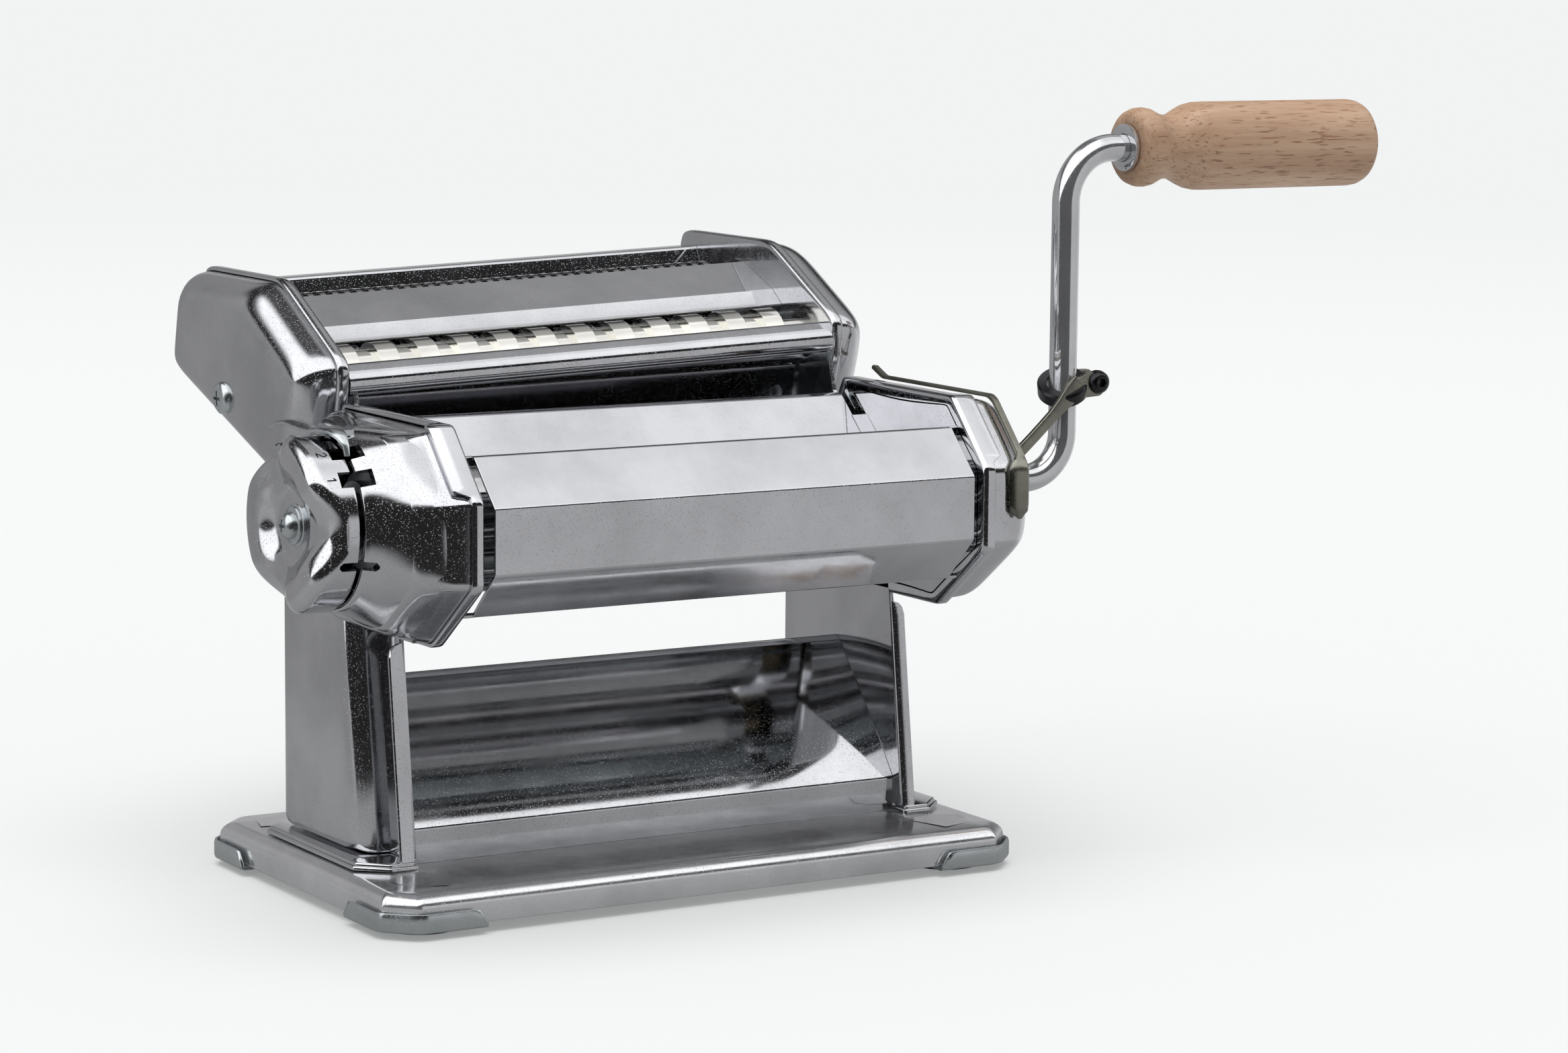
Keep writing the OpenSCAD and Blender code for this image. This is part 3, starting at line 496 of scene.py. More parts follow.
def brackets():
    """Corner plates with a turned-up lip, and the rubber feet below them."""
    parts = []
    w, d, c = BASE_X, BASE_Y, BASE_CORNER
    # the lip's line round one corner; its height falls to nothing at both ends
    line = spaced(bent([(w - 28, d), (w - c, d), (w, d - c), (w, d - 28)], 5, 8), 2.5)
    run = stations(line)
    rows = []
    for i, p in enumerate(line):
        t = heading(line, i)
        nor = (-t[1], t[0])
        if nor[0] * w + nor[1] * d < 0:
            nor = (-nor[0], -nor[1])
        e = min(run[i], run[-1] - run[i])
        h = 4.3 * math.sqrt(max(0.0, 1 - (1 - min(1, e / 4.0)) ** 2)) + 0.1
        section = [(-7, 2.0), (0.9, 2.0), (1.7, 2.3), (2.0, 3.0), (2.0, 3.2 + h * 0.8), (1.75, 3.2 + h),
                   (1.2, 3.15 + h), (0.95, 3.2 + h * 0.75), (0.85, 3.3), (0.4, 3.15), (-7, 3.15)]
        rows.append([(p[0] + nor[0] * u, p[1] + nor[1] * u, z) for u, z in section])
    one = grid(rows, caps=(True, True))
    plate = grid([[(w - 27.5, d - 0.5, z), (w - c, d - 0.5, z), (w - 0.5, d - c, z), (w - 0.5, d - 27.5, z),
                   (w - 21, d - 21, z)] for z in (2.0, 3.15)], caps=(True, True))
    feet = []
    for sx in (1, -1):
        for sy in (1, -1):
            m = Matrix.Diagonal((sx, sy, 1, 1))
            parts += [moved(one, m), moved(plate, m)]
            feet.append(lathe([(0, 8.2), (0, 10.2), (0.3, 10.8), (0.8, 11), (1.97, 11)],
                              (sx * 86.5, sy * 46.5), "z", 48))
    piece("corner_bracket_lips", parts, ZINC, "machine", ["corner_brackets"], sharp=50)
    piece("rubber_foot_discs", feet, RUBBER, "machine", ["rubber_feet"])


brackets()


def foot_plates():
    """Two stacked plates under each post."""
    parts = []
    x0, x1, front, rear, c = 80.5, 97.5, -34.0, 40.0, 8.0
    out = [(x0, front), (x1 - c, front), (x1, front + c), (x1, rear - c), (x1 - c, rear), (x0, rear)]
    for o, z0, z1 in ((out, 13.2, 14.3), (inset(out, 0.9), 14.25, 15.2)):
        rows = [[(x, y, z) for x, y in rounded(inset(o, i), 1.0, 3)]
                for z, i in ((z0, 0), (z1 - 0.45, 0), (z1 - 0.12, 0.15), (z1, 0.5))]
        p = grid(rows, caps=(True, True))
        parts += [p, mirrored(p)]
    piece("foot_plate_layers", parts, CHROME, "machine", ["foot_plates"], sharp=60)


foot_plates()


# ---------- side plates and shells ----------
def rim(width_at):
    """The plate's turned-over edge round the casing; width_at gives its width at an angle."""
    n, c = 360, CASING_MID
    p, q = PLATE_IN, PLATE_OUT
    rows = []
    for k in range(n):
        ang = TAU * k / n
        ro = gauge(CASING, c, ang, 90)
        ri = gauge(inset(CASING, T), c, ang, 80)
        x1 = p + width_at(ang)
        prof = [(p, ro - 4), (p, ro - 1.6), (p + 0.25, ro - 0.75), (p + 0.8, ro - 0.15), (p + 1.5, ro),
                (x1 - 0.4, ro), (x1 - 0.1, ro - 0.2), (x1, ro - 0.55), (x1 - 0.1, ri + 0.2), (x1 - 0.4, ri),
                (q + 0.5, ri), (q, ri - 0.5), (q, ro - 4)]
        rows.append([(x, c[0] + r * math.cos(ang), c[1] + r * math.sin(ang)) for x, r in prof])
    return grid(rows, loop=True)


# width of the turned edge over the upper front facet, left and right
WIDE = {-1: 8.4, 1: 7.6}


def side_plate(side):
    """Flat plate with its turned edge, its post and the post's front flange."""
    c = CASING_MID

    def width(ang):
        """Wide over the upper front facet, with a step near each of its corners."""
        r = gauge(CASING, c, ang, 90)
        y, z = c[0] + r * math.cos(ang), c[1] + r * math.sin(ang)
        if y > -30 or z < 118:
            return 5.0 if y > -40 else 4.0
        up = (z - 121.8) / 19.2
        if y > -58:
            return 5.0 + (WIDE[side] - 5.0) * smooth((-50 - y) / 5)
        return 4.0 + (WIDE[side] - 4.0) * smooth((up - 0.06) / 0.12)
    n = 360
    ring = []
    for k in range(n):
        ang = TAU * k / n
        r = gauge(CASING, c, ang, 90) - 3.5
        ring.append((c[0] + r * math.cos(ang), c[1] + r * math.sin(ang)))
    face = grid([[(x, y, z) for y, z in ring] for x in (PLATE_IN, PLATE_OUT)], caps=(True, True))
    post = slab(rounded(PLATE_POST, 0.6, 3), PLATE_IN, PLATE_OUT, 0.2)
    # the front flange leans back with the post and ends in a rounded top
    lean = 8.5 / 67.3
    rows = []
    for z, top in [(15.2, 0), (30, 0), (45, 0), (60, 0), (72, 0), (74.2, 0.6), (75.4, 1.8), (76, 3.4)]:
        y = -32 + (z - 15.2) * lean
        x0, x1 = PLATE_IN + 0.6, RIM_OUT - top
        rows.append([(x0, y + 0.05, z), (PLATE_IN + 1.2, y - 0.25, z), (x1 - 0.35, y - 0.25, z),
                     (x1, y + 0.1, z), (x1, y + 0.75, z), (x1 - 0.35, y + 1.0, z), (x0, y + 1.0, z)])
    flange = grid(rows, caps=(True, True))
    parts = [rim(width), face, post, flange]
    name = "side_plate_right"
    if side < 0:
        parts = [mirrored(p) for p in parts]
        name = "side_plate_left"
    piece(name + "_pressed", parts, CHROME, "machine", [name], sharp=40)


side_plate(1)
side_plate(-1)


def shell_rows(centre, hole, collar):
    """Rings round a shell: its wall, shoulder and end face, then the collar or the hole's edge."""
    n = 300
    rows = []
    outer = inset(CASING, T + 0.05)
    # where the wall starts to turn inwards
    b = 13.0
    wall_end = SHELL_OUT - b
    for k in range(n):
        ang = TAU * k / n
        r0 = gauge(outer, centre, ang, 80)
        rs = gauge(outer, centre, ang, 22 if collar else 26)
        pr = [(PLATE_OUT + 0.1, r0), (84.5, r0 - 0.1), (wall_end, r0 - (0.9 if collar else 0.4))]
        if collar:
            # one flowing curve from the wall to the collar
            x0, x3, e = wall_end - 0.5, 111.2, 111.5
            for j in range(1, 23):
                t = j / 22
                u = 1 - t
                base = r0 - 1.0 + (rs - r0) * smooth(t * 2.5)
                x = u ** 3 * x0 + 3 * u * u * t * 98.0 + 3 * u * t * t * 101.5 + t ** 3 * x3
                pr.append((x, base * (u ** 3 + 3 * u * u * t * 0.975)
                           + (hole + 2.6) * 3 * u * t * t + hole * t ** 3))
            pr += [(e - 0.3, hole), (e, hole - 0.3), (e, hole - 0.9), (e - 0.3, hole - T),
                   (SHELL_OUT - 1, hole - T), (SHELL_OUT - 3.5, hole + 0.6)]
            a = max(1.0, rs - hole - 3)
        else:
            a = min(b, max(2.0, rs - hole - 1.2))
            for j in range(1, 13):
                phi = math.pi / 2 * j / 12
                base = r0 - 0.4 + (rs - r0) * min(1.0, j / 7)
                pr.append((wall_end + b * math.sin(phi), base - a * (1 - math.cos(phi))))
            end = rs - a
            for j in range(1, 5):
                pr.append((SHELL_OUT, end + (hole + 1.0 - end) * j / 4))
            pr += [(SHELL_OUT, hole + 0.4), (SHELL_OUT - 0.3, hole), (SHELL_OUT - 0.9, hole),
                   (SHELL_OUT - T, hole + 0.4), (SHELL_OUT - T, end - 1)]
        # back along the inside
        for j in range(12, 0, -2):
            phi = math.pi / 2 * j / 12
            pr.append((wall_end + (b - T) * math.sin(phi), rs - T - (a - 0.5) * (1 - math.cos(phi)) * 0.96))
        pr += [(wall_end, r0 - T), (PLATE_OUT + 0.1, r0 - T)]
        rows.append([(x, centre[0] + r * math.cos(ang), centre[1] + r * math.sin(ang)) for x, r in pr])
    return grid(rows, loop=True)


def post_shell():
    """Cover over a post; only its upright edges are rounded over, its foot stays down on its plate."""
    rows = []
    quarter = [math.pi / 2 * k / 9 for k in range(10)]
    side = [(PLATE_OUT, 0.0), (84, 0)]
    side += [(POST_OUT - 7 + 7 * math.sin(a), 7 - 7 * math.cos(a)) for a in quarter]
    for x, i in side:
        foot = 15.25 + min(i, 3.0) * 0.35
        q = [(-19 + i, foot), (-9.4 + i, 90), (36 - i, 90), (36 - i, foot)]
        rows.append([(x, y, z) for y, z in rounded(q, [1.0 + i * 0.4, 1, 1, 1.0 + i * 0.4], 3)])
    return grid(rows, caps=(True, True))


def box_part(lo, hi):
    """Box between two corners."""
    (x0, y0, z0), (x1, y1, z1) = lo, hi
    return grid([[(x, y0, z0), (x, y1, z0), (x, y1, z1), (x, y0, z1)] for x in (x0, x1)], caps=(True, True))


def notch(theta, x0, x1, half, tip=0.0):
    """Block that cuts a notch in the knob's or collar's wall; theta is its angle above the front."""
    a = math.radians(theta)
    c, s = math.cos(a), math.sin(a)
    out = [(x0, -half), (x1, -half), (x1, half), (x0, half)]
    if tip:
        out = [(x0 + tip, -half), (x1 - tip, -half), (x1, -half + tip), (x1, half - tip),
               (x1 - tip, half), (x0 + tip, half), (x0, half - tip), (x0, -half + tip)]
    rows = []
    for r in (20.0, 28.0):
        rows.append([(x, KNOB[0] - r * c + h * s, KNOB[1] + r * s + h * c) for x, h in out])
    return grid(rows, caps=(True, True))


# places of the notches, in degrees above the front: the first number, the step to the next, the stop
FIRST, PITCH, STOP = 36, 21.5, -21.7
collar_notches = [notch(a, -113, x1, half) for a, x1, half in (
    (FIRST, -107.2, 2.5), (FIRST + PITCH, -107.4, 2.4), (79, -107.6, 2.3))]
shell_left = piece("casing_shell_left", [mirrored(shell_rows(KNOB, KNOB_R, True))], SOFT, "machine",
                   ["side_shell_left"], sharp=50)
cut(shell_left, collar_notches + [notch(STOP, -113, -107.2, 1.3, tip=0.9)])
piece("post_shell_left", [mirrored(post_shell())], SOFT, "machine", sharp=50)
piece("casing_shell_right", [shell_rows(DRIVE, 6.3, False)], SOFT, "machine",
      ["side_shell_right"], sharp=50)
piece("post_shell_right", [post_shell()], SOFT, "machine", sharp=50)


# ---------- knob ----------
def dent(ang, at, half):
    """1 in the middle of a thumb dent, falling smoothly to 0 at its sides."""
    d = (ang - math.radians(at) + math.pi) % TAU - math.pi
    u = abs(d) / math.radians(half)
    return 0.0 if u >= 1 else (0.5 + 0.5 * math.cos(math.pi * u)) ** 1.15


# thumb dents: angle, half width, depth, drop of the rim
DENTS = ((0, 46, 4.9, 2.8), (119, 42, 3.7, 1.5), (-109, 42, 3.7, 1.5))


def cup_height(r, ang):
    """How far the cup's face lies inside its outermost plane."""
    dish = 5.2 * (1 - smooth((r - 8.0) / 10.0))
    edge = 0.0
    if r > 19.8:
        u = (r - 19.8) / 4.5
        edge = 4.2 * (1 - math.sqrt(max(0.0, 1 - u * u)))
    total = dish + edge
    for at, half, deep, lip in DENTS:
        valley = deep * smooth((r - 9.5) / 4.0) * (1 - dish / 5.2) + lip * smooth((r - 17.0) / 7.0)
        total += dent(ang, at, half) * valley
    return min(total, 9.6)


def knob_mesh():
    """The cup from the middle of its face over the wall to its inside."""
    n, face, end = 216, -126.1, -113.4
    radii = [3, 6, 8, 9.5] + [10 + 0.7 * k for k in range(15)]
    radii += [20.4, 21, 21.7, 22.4, 23, 23.5, 23.9, 24.15, 24.27]
    rings = []

    def ring(fn):
        out = []
        for k in range(n):
            ang = TAU * k / n
            x, r = fn(ang)
            out.append((x, KNOB[0] - r * math.cos(ang), KNOB[1] + r * math.sin(ang)))
        rings.append(out)
    for r in radii:
        ring(lambda a: (face + cup_height(r, a), r))
    for j in range(1, 9):
        ring(lambda a: ((face + cup_height(KNOB_R, a)) * (1 - j / 8) + end * j / 8, KNOB_R))
    for x, r in ((-113.15, 24.1), (-113.1, 23.7), (end, 23.1)):
        ring(lambda a: (x, r))
    ring(lambda a: (face + cup_height(KNOB_R, a) + 1.6, 23.0))
    for r in (21, 18, 15, 12, 9, 3):
        ring(lambda a: (face + cup_height(r, a) + 1.0, r))
    return grid(rings, caps=(True, True))


cup = piece("knob_cup_pressed", [knob_mesh()], SOFT, "knob", ["knob_cup"], sharp=60)
cut(cup, [notch(FIRST + PITCH * i, -117.0, -112, 2.4) for i in range(6)]
    + [notch(STOP, -118.4, -112, 1.3, tip=0.9)])

washers = [lathe(profile, KNOB, "x", 56) for profile in (
    [(-120.2, 3), (-120.2, 5.6), (-120.4, 5.9), (-121.1, 5.9), (-121.3, 5.6), (-121.3, 3)],
    [(-121.3, 2.6), (-121.3, 4.9), (-121.5, 5.2), (-122.0, 5.2), (-122.2, 4.9), (-122.2, 2.6)])]
head = lathe([(-122.1, 3.7), (-122.9, 3.7), (-123.9, 3.3), (-124.8, 2.4), (-125.2, 1.3), (-125.3, 0.2)],
             KNOB, "x", 48)
piece("knob_screw_washers", washers, ZINC, "knob", sharp=40)
screw = piece("knob_screw_head", [head], ZINC, "knob", ["knob_screw"], sharp=40)


def cross(x0, x1, c, size, w):
    """The two bars of a cross recess."""
    return [box_part((x0, c[0] - size, c[1] - w), (x1, c[0] + size, c[1] + w)),
            box_part((x0, c[0] - w, c[1] - size), (x1, c[0] + w, c[1] + size))]


for bar in cross(-127, -124.1, KNOB, 1.8, 0.38):
    cut(screw, [bar])

# the dial's numbers as lines in a box one unit high
STROKES = {
    "1": [[(0, 0), (0, 1)], [(0, 1), (-0.28, 0.72)]],
    "2": [[(-0.3, 0.78), (-0.15, 0.98), (0.15, 0.98), (0.3, 0.76), (0.22, 0.5), (-0.3, 0), (0.32, 0)]],
    "3": [[(-0.28, 0.9), (0, 1), (0.27, 0.85), (0.2, 0.58), (0, 0.52), (0.24, 0.44), (0.3, 0.18), (0.02, 0),
           (-0.3, 0.1)]],
    "4": [[(0.12, 0), (0.12, 1), (-0.32, 0.3), (0.32, 0.3)]],
    "5": [[(0.28, 1), (-0.22, 1), (-0.27, 0.55), (0.05, 0.62), (0.29, 0.35), (0.1, 0.02), (-0.28, 0.06)]],
    "6": [[(0.2, 0.98), (-0.2, 0.6), (-0.28, 0.25), (0, 0), (0.27, 0.2), (0.15, 0.5), (-0.24, 0.4)]],
}


def on_wall(x, s, r):
    """Point on the knob's wall at s millimetres round from the front."""
    a = s / KNOB_R
    return (x, KNOB[0] - r * math.cos(a), KNOB[1] + r * math.sin(a))


def stroke(pts, w, r):
    """Ribbon of half width w that follows points (x, s) on the wall."""
    rows = []
    line = spaced(pts, 0.4)
    for i, p in enumerate(line):
        t = heading(line, i)
        nx, ns = -t[1] * w, t[0] * w
        rows.append([on_wall(p[0] + e * nx, p[1] + e * ns, r + h)
                     for e, h in ((1, -0.05), (1, 0.02), (-1, 0.02), (-1, -0.05))])
    return grid(rows, caps=(True, True))


digits = []
for i in range(6):
    s0 = math.radians(FIRST + PITCH * i) * KNOB_R
    for line in STROKES[str(i + 1)]:
        digits.append(stroke([(-120.6 + 2.7 * v, s0 - 2.6 * u) for u, v in line], 0.2, KNOB_R))
piece("knob_numbers", digits, INK, "knob", sharp=60)
mark = math.radians(FIRST) * KNOB_R
piece("index_mark", [stroke([(-105.6, mark), (-103.4, mark)], 0.2, KNOB_R + 0.02)], INK, "machine",
      sharp=60)


def tab_parts():
    """Wavy strip that runs forwards over the gap, turns down into it, and a foot on the collar."""
    # x, y, z and half width along the strip
    path = [(-119.6, -24.5, 139.6, 3.0), (-118.6, -27.5, 140.7, 3.1), (-117.5, -31.0, 141.2, 3.1),
            (-116.2, -35.5, 140.3, 3.0), (-115.0, -40.5, 139.8, 3.0), (-114.0, -45.0, 140.4, 2.9),
            (-113.1, -49.5, 140.2, 2.6), (-112.6, -52.5, 138.8, 1.8), (-112.15, -54.0, 136.6, 0.85),
            (-112.15, -54.6, 133.8, 0.8)]
    rows = []
    for i, (x, y, z, w) in enumerate(path):
        a, b = path[max(0, i - 1)], path[min(len(path) - 1, i + 1)]
        t = Vector((b[0] - a[0], b[1] - a[1], b[2] - a[2])).normalized()
        side = Vector((0, 0, 1)).cross(t)
        side = (side if side.length > 0.05 else Vector((1, 0, 0))).normalized()
        if side.x < 0:
            side = -side
        up = t.cross(side)
        if up.z < 0:
            up = -up
        p = Vector((x, y, z))
        rows.append([tuple(p + side * u + up * v) for u, v in (
            (-w, 0.1), (-w * 0.6, 0.5), (w * 0.6, 0.5), (w, 0.3), (w, -0.5), (-w, -0.6))])
    foot = slab([(-46.5, 138.2), (-36.5, 138.4), (-36.5, 140.0), (-46.5, 139.8)], -112.9, -106.0, 0.3)
    return [grid(rows, caps=(True, True)), foot]


piece("index_tab_bent", tab_parts(), ZINC, "machine", ["index_tab"], sharp=50)


# ---------- covers, hopper and chute ----------
def cover(name, path, t, half, r, rep, tabs=(), tab_r=1.6, tab_in=77.0):
    """Bent sheet between the plates, with narrower end tabs that reach the plates' inner faces."""
    parts = [sheet(path, t, -half, half, r)]
    parts += [sheet(tab, t, x0, x1, tab_r) for tab in tabs for x0, x1 in ((tab_in, 80.5), (-80.5, -tab_in))]
    piece(name, parts, CHROME, "machine", [rep], sharp=24, bevel=0.25)


front = [(-58, 130), (-59.4, 132.7), (-61.4, 132.4), (-74, 119.6), (-74, 101.2), (-60.6, 88), (-58.8, 88.4)]
cover("front_cover_sheet", front, 1.0, 77.5, 1.3, "front_cover", [front[0:2], front[5:7]])
rear = [(0.4, 130.5), (4.4, 132.7), (15, 119.6), (15, 101.2), (3, 88)]
cover("rear_cover_sheet", rear, -1.0, 77.5, 1.6, "rear_cover", [rear[3:5]])
hop = [(-15.4, 123.6), (-11.4, 124.4), (0.5, 135), (2.7, 135.8), (3.9, 134)]
mid = add(hop[1], add(hop[2], hop[1], -1), 0.5)
cover("hopper_sheet", hop, 1.0, 78, 1.4, "hopper_plate", [[hop[0], hop[1], mid]], 0.8, 77.5)
chute = [(-27.5, 13.2), (-27.5, 23.2), (-19.9, 33.3), (3.5, 60.5), (5.5, 62), (7.5, 61.5), (8.5, 59)]
cover("chute_sheet", chute, -1.2, 80.5, 1.8, "chute")


# ---------- strap ----------
def fall(x):
    """How far the shell's rounded end has dropped at this x."""
    return 8 - math.sqrt(64 - max(0.0, x - 94) ** 2)


def strap_band():
    """A narrow band that widens into the tongue on the front facet, with a rounded end."""
    o = inset(CASING, T)
    over = [add(o[3], (5, 2.6)), add(o[3], (-1, 0)), o[2], o[1], (o[1][0], o[1][1] - 15)]
    line = spaced(bent(over, 6.0, 8), 2.0)
    run = stations(line)
    edge_x, low, high = 96.4, 0.05, 1.25
    rows = []
    for i, p in enumerate(line):
        t = heading(line, i)
        nor = (t[1], -t[0])
        if nor[0] * (p[0] - CASING_MID[0]) + nor[1] * (p[1] - CASING_MID[1]) < 0:
            nor = (-nor[0], -nor[1])
        left = run[-1] - run[i]
        half = 1.2 + 2.0 * smooth((20 - left) / 6)
        mx = edge_x - half
        if left < 3.4:
            half *= max(0.12, math.sqrt(max(0.0, 1 - (1 - left / 3.4) ** 2)))
        x0, x1 = mx - half, mx + half
        rows.append([(x, p[0] + nor[0] * (u - fall(x)), p[1] + nor[1] * (u - fall(x))) for x, u in (
            (x0, low), (x0, high - 0.4), (x0 + 0.25 * half, high), (x1 - 0.25 * half, high), (x1, high - 0.4),
            (x1, low))])
    return grid(rows, caps=(True, True))


piece("strap_band_bent", [strap_band()], STRAP, "machine", ["strap_band"], sharp=45)

RING = Vector((149.5, -13.39, 136.23))


def strap_ring():
    """Lug plates at the crank rod and the flat tail that runs down to the casing's back."""
    parts = []
    lug = rounded([(RING.x - 3.5, RING.z - 3.4), (RING.x + 10.0, RING.z - 2.6), (RING.x + 12.6, RING.z + 0.5),
                   (RING.x + 11.5, RING.z + 5.0), (RING.x + 4.5, RING.z + 4.6), (RING.x - 1.5, RING.z + 1.5)],
                  2.4, 4)
    for y0, y1 in ((-6.4, -4.6), (0.4, 2.9)):
        parts.append(grid([[(x, RING.y + y, z) for x, z in lug] for y in (y0, y1)], caps=(True, True)))
    low = Vector((105, RING.y - 6.5, RING.z - 36))
    high = RING + Vector((2.5, -5.6, 1.5))
    d = (low - high).normalized()
    up = Vector((-d.z, 0, d.x)).normalized()
    if up.z < 0:
        up = -up
    n, w = 14, 0.7
    rows = []
    for k in range(n + 1):
        t = k / n
        p = high.lerp(low, t)
        p.z -= 2.2 * math.sin(math.pi * t)
        h = 1.8 + 1.4 * smooth((0.22 - t) / 0.2)
        rows.append([tuple(p + up * u + Vector((0, v, 0))) for u, v in (
            (-h, -w), (-h * 0.8, -w - 0.2), (h * 0.8, -w - 0.2), (h, -w), (h, w), (-h, w))])
    parts.append(grid(rows, caps=(True, True)))
    return parts


piece("strap_ring_clamp", strap_ring(), STRAP, "crank", ["strap_ring"], sharp=40, bevel=0.25)
loop = lathe([(-2.2, 5.0), (-2.4, 7.2), (-1.8, 7.8), (1.8, 7.8), (2.4, 7.2), (2.2, 5.0)], (0, 0), "z", 48,
             close=True)
lean = Matrix.Rotation(math.radians(-24), 4, "Y") @ Matrix.Rotation(math.radians(26), 4, "X")
piece("strap_ring_loop", [moved(loop, Matrix.Translation(RING) @ lean)], BLACKED, "crank",
      sharp=40)
# socket screw through the lug, with its nut behind
at = (RING.x + 9.0, RING.z + 1.6)
y = RING.y - 1.8
socket_head = lathe([(y - 3.0, 3.7), (y - 4.2, 3.7), (y - 5.6, 3.3), (y - 6.4, 2.4), (y - 6.5, 1.9)],
                    at, "y", 40)
shank = lathe([(y - 3.0, 2.0), (y + 5.5, 2.0)], at, "y", 24)
nut = lathe([(y + 3.0, 3.4), (y + 3.2, 3.7), (y + 5.6, 3.7), (y + 5.8, 3.4)], at, "y", 6)
socket_screw = piece("strap_screw_head", [socket_head, shank, nut], BLACKED, "crank",
                     ["strap_screw"], sharp=35)
cut(socket_screw, [lathe([(y - 8, 1.55), (y - 4.4, 1.55)], at, "y", 6)])


# ---------- crank grip ----------
def grip():
    """Turned wooden grip and the ring of its washer."""
    g0, axis = 172.0, (DRIVE[0], GRIP_Z)
    prof = [(9.0, 4.6), (0.6, 4.6), (0.0, 5.4), (0.0, 8.6), (0.4, 10.1), (1.6, 11.4), (3.4, 12.1),
            (5.2, 12.2), (7.0, 11.9), (8.8, 11.1), (10.4, 10.4), (12.0, 10.0), (14.0, 9.8), (16.0, 10.2),
            (18.0, 11.1), (20.2, 12.2), (22.4, 13.1), (25.0, 13.6), (28.0, 13.7), (40, 13.7), (55, 13.7),
            (70, 13.7), (84.0, 13.7), (86.2, 13.45), (87.7, 12.8), (88.6, 11.8), (89.0, 10.4), (89.0, 6),
            (89.0, 0.2)]
    piece("grip_turned", [lathe([(g0 + x, r) for x, r in prof], axis, "x", 128)], WOOD, "grip",
          ["wood_grip"], sharp=40)
    washer = [(-1.7, 4.4), (-1.7, 6.9), (-1.5, 7.3), (-0.5, 7.3), (-0.35, 7.0), (-0.35, 4.4)]
    piece("grip_washer_ring", [lathe([(g0 + x, r) for x, r in washer], axis, "x", 48, close=True)], POLISHED,
          "crank", ["grip_washer"], sharp=40)


grip()

# ---------- cutter ----------
# the cutter leans about the left plate's inner face
TILT = (Matrix.Translation((-80.5, 0, 124)) @ Matrix.Rotation(math.radians(-2.1), 4, "Y")
        @ Matrix.Translation((80.5, 0, -124)))
CUT = [(23.5, 111), (107.5, 141.5), (98.5, 172.5), (45.5, 172.5), (8, 151.5), (8.5, 142.5)]
CUT_MID = (57.0, 146.0)


def cut_ring(x, d, p):
    """Ring round the cutter's outline moved inwards by d; a low p rounds its corners."""
    n = 240
    out = []
    for k in range(n):
        ang = TAU * k / n
        r = gauge(CUT, CUT_MID, ang, p, d)
        out.append((x, CUT_MID[0] + r * math.cos(ang), CUT_MID[1] + r * math.sin(ang)))
    return out


def cap(side):
    """Drawn end cap of the cutter and the plate behind it, which has a thick turned edge."""
    deep, a, face = 12.0, 10.5, 96.5
    wall = face - deep
    rows = [cut_ring(PLATE_OUT + 0.05, 0.3, 26), cut_ring(wall, 0.3, 26)]
    for j in range(1, 15):
        phi = math.pi / 2 * j / 14
        rows.append(cut_ring(wall + deep * math.sin(phi), 0.3 + a * (1 - math.cos(phi)),
                             26 - 10 * min(1, j / 8)))
    back = [cut_ring(face - T, a + 0.6, 16), cut_ring(93, 4.6, 20), cut_ring(88, 1.9, 24),
            cut_ring(PLATE_OUT + 0.05, 1.5, 26)]
    parts = [grid(rows, caps=(False, True)), grid(back, caps=(True, False)), grid([rows[0], back[-1]])]
    plate = grid([cut_ring(x, i, 28) for x, i in (
        (80.5, 0.6), (80.52, -0.2), (80.9, -0.65), (81.6, -0.9), (82.6, -1.0), (83.5, -0.9), (84.1, -0.55),
        (84.3, 0.0), (84.0, 0.25), (83.0, 0.3))], caps=(True, True))
    end = "right"
    if side < 0:
        parts, plate, end = [mirrored(p) for p in parts], mirrored(plate), "left"
    ob = piece("cutter_cap_" + end + "_pressed", [moved(p, TILT) for p in parts], SOFT, "cutter",
               ["cutter_cap_" + end], sharp=50)
    piece("cutter_plate_" + end + "_pressed", [moved(plate, TILT)], SOFT, "cutter",
          ["cutter_plate_" + end], sharp=50)
    return ob


cap(-1)
cap_right = cap(1)
# the two sockets for the crank
sockets = [lathe([(90, 6.4), (99, 6.4)], a, "x", 32) for a in ((34, 144.6), (75.5, 156))]
cut(cap_right, [moved(q, TILT) for q in sockets])


def tilted_sheets(name, rep, sharp, *paths):
    """Sheets between the cutter's plates, each given as path, thickness and bend radius."""
    parts = [moved(sheet(path, t, -80.5, 80.5, r), TILT) for path, t, r in paths]
    piece(name, parts, CHROME, "cutter", [rep], sharp=sharp, bevel=0.25)


roll = [(16.9, 147.0), (16.4, 149.7), (14.3, 151.1), (12.2, 150.9), (9.2, 149.0), (7.9, 147.0), (7.8, 144.4),
        (8.7, 142.8), (10.4, 142.2), (12.0, 142.4)]
panel = [(9.6, 142.2), (24.3, 112.5), (29.5, 114.6)]
divider = [(60, 166.1), (43, 158.7), (38.6, 155.2), (37.6, 154.5)]
back_sheet = [(87.2, 161.5), (89.5, 168.8), (96.6, 168.8), (106.6, 142.1), (97.5, 138.9)]
tilted_sheets("cutter_front_rolled", "cutter_front", 30, (roll, 1.0, 3.0), (panel, 1.0, 1.0))
tilted_sheets("cutter_divider_bent", "cutter_divider", 24, (divider, 0.8, 1.5))
tilted_sheets("cutter_rear_bent", "cutter_rear", 24, (back_sheet, -1.0, 1.2))


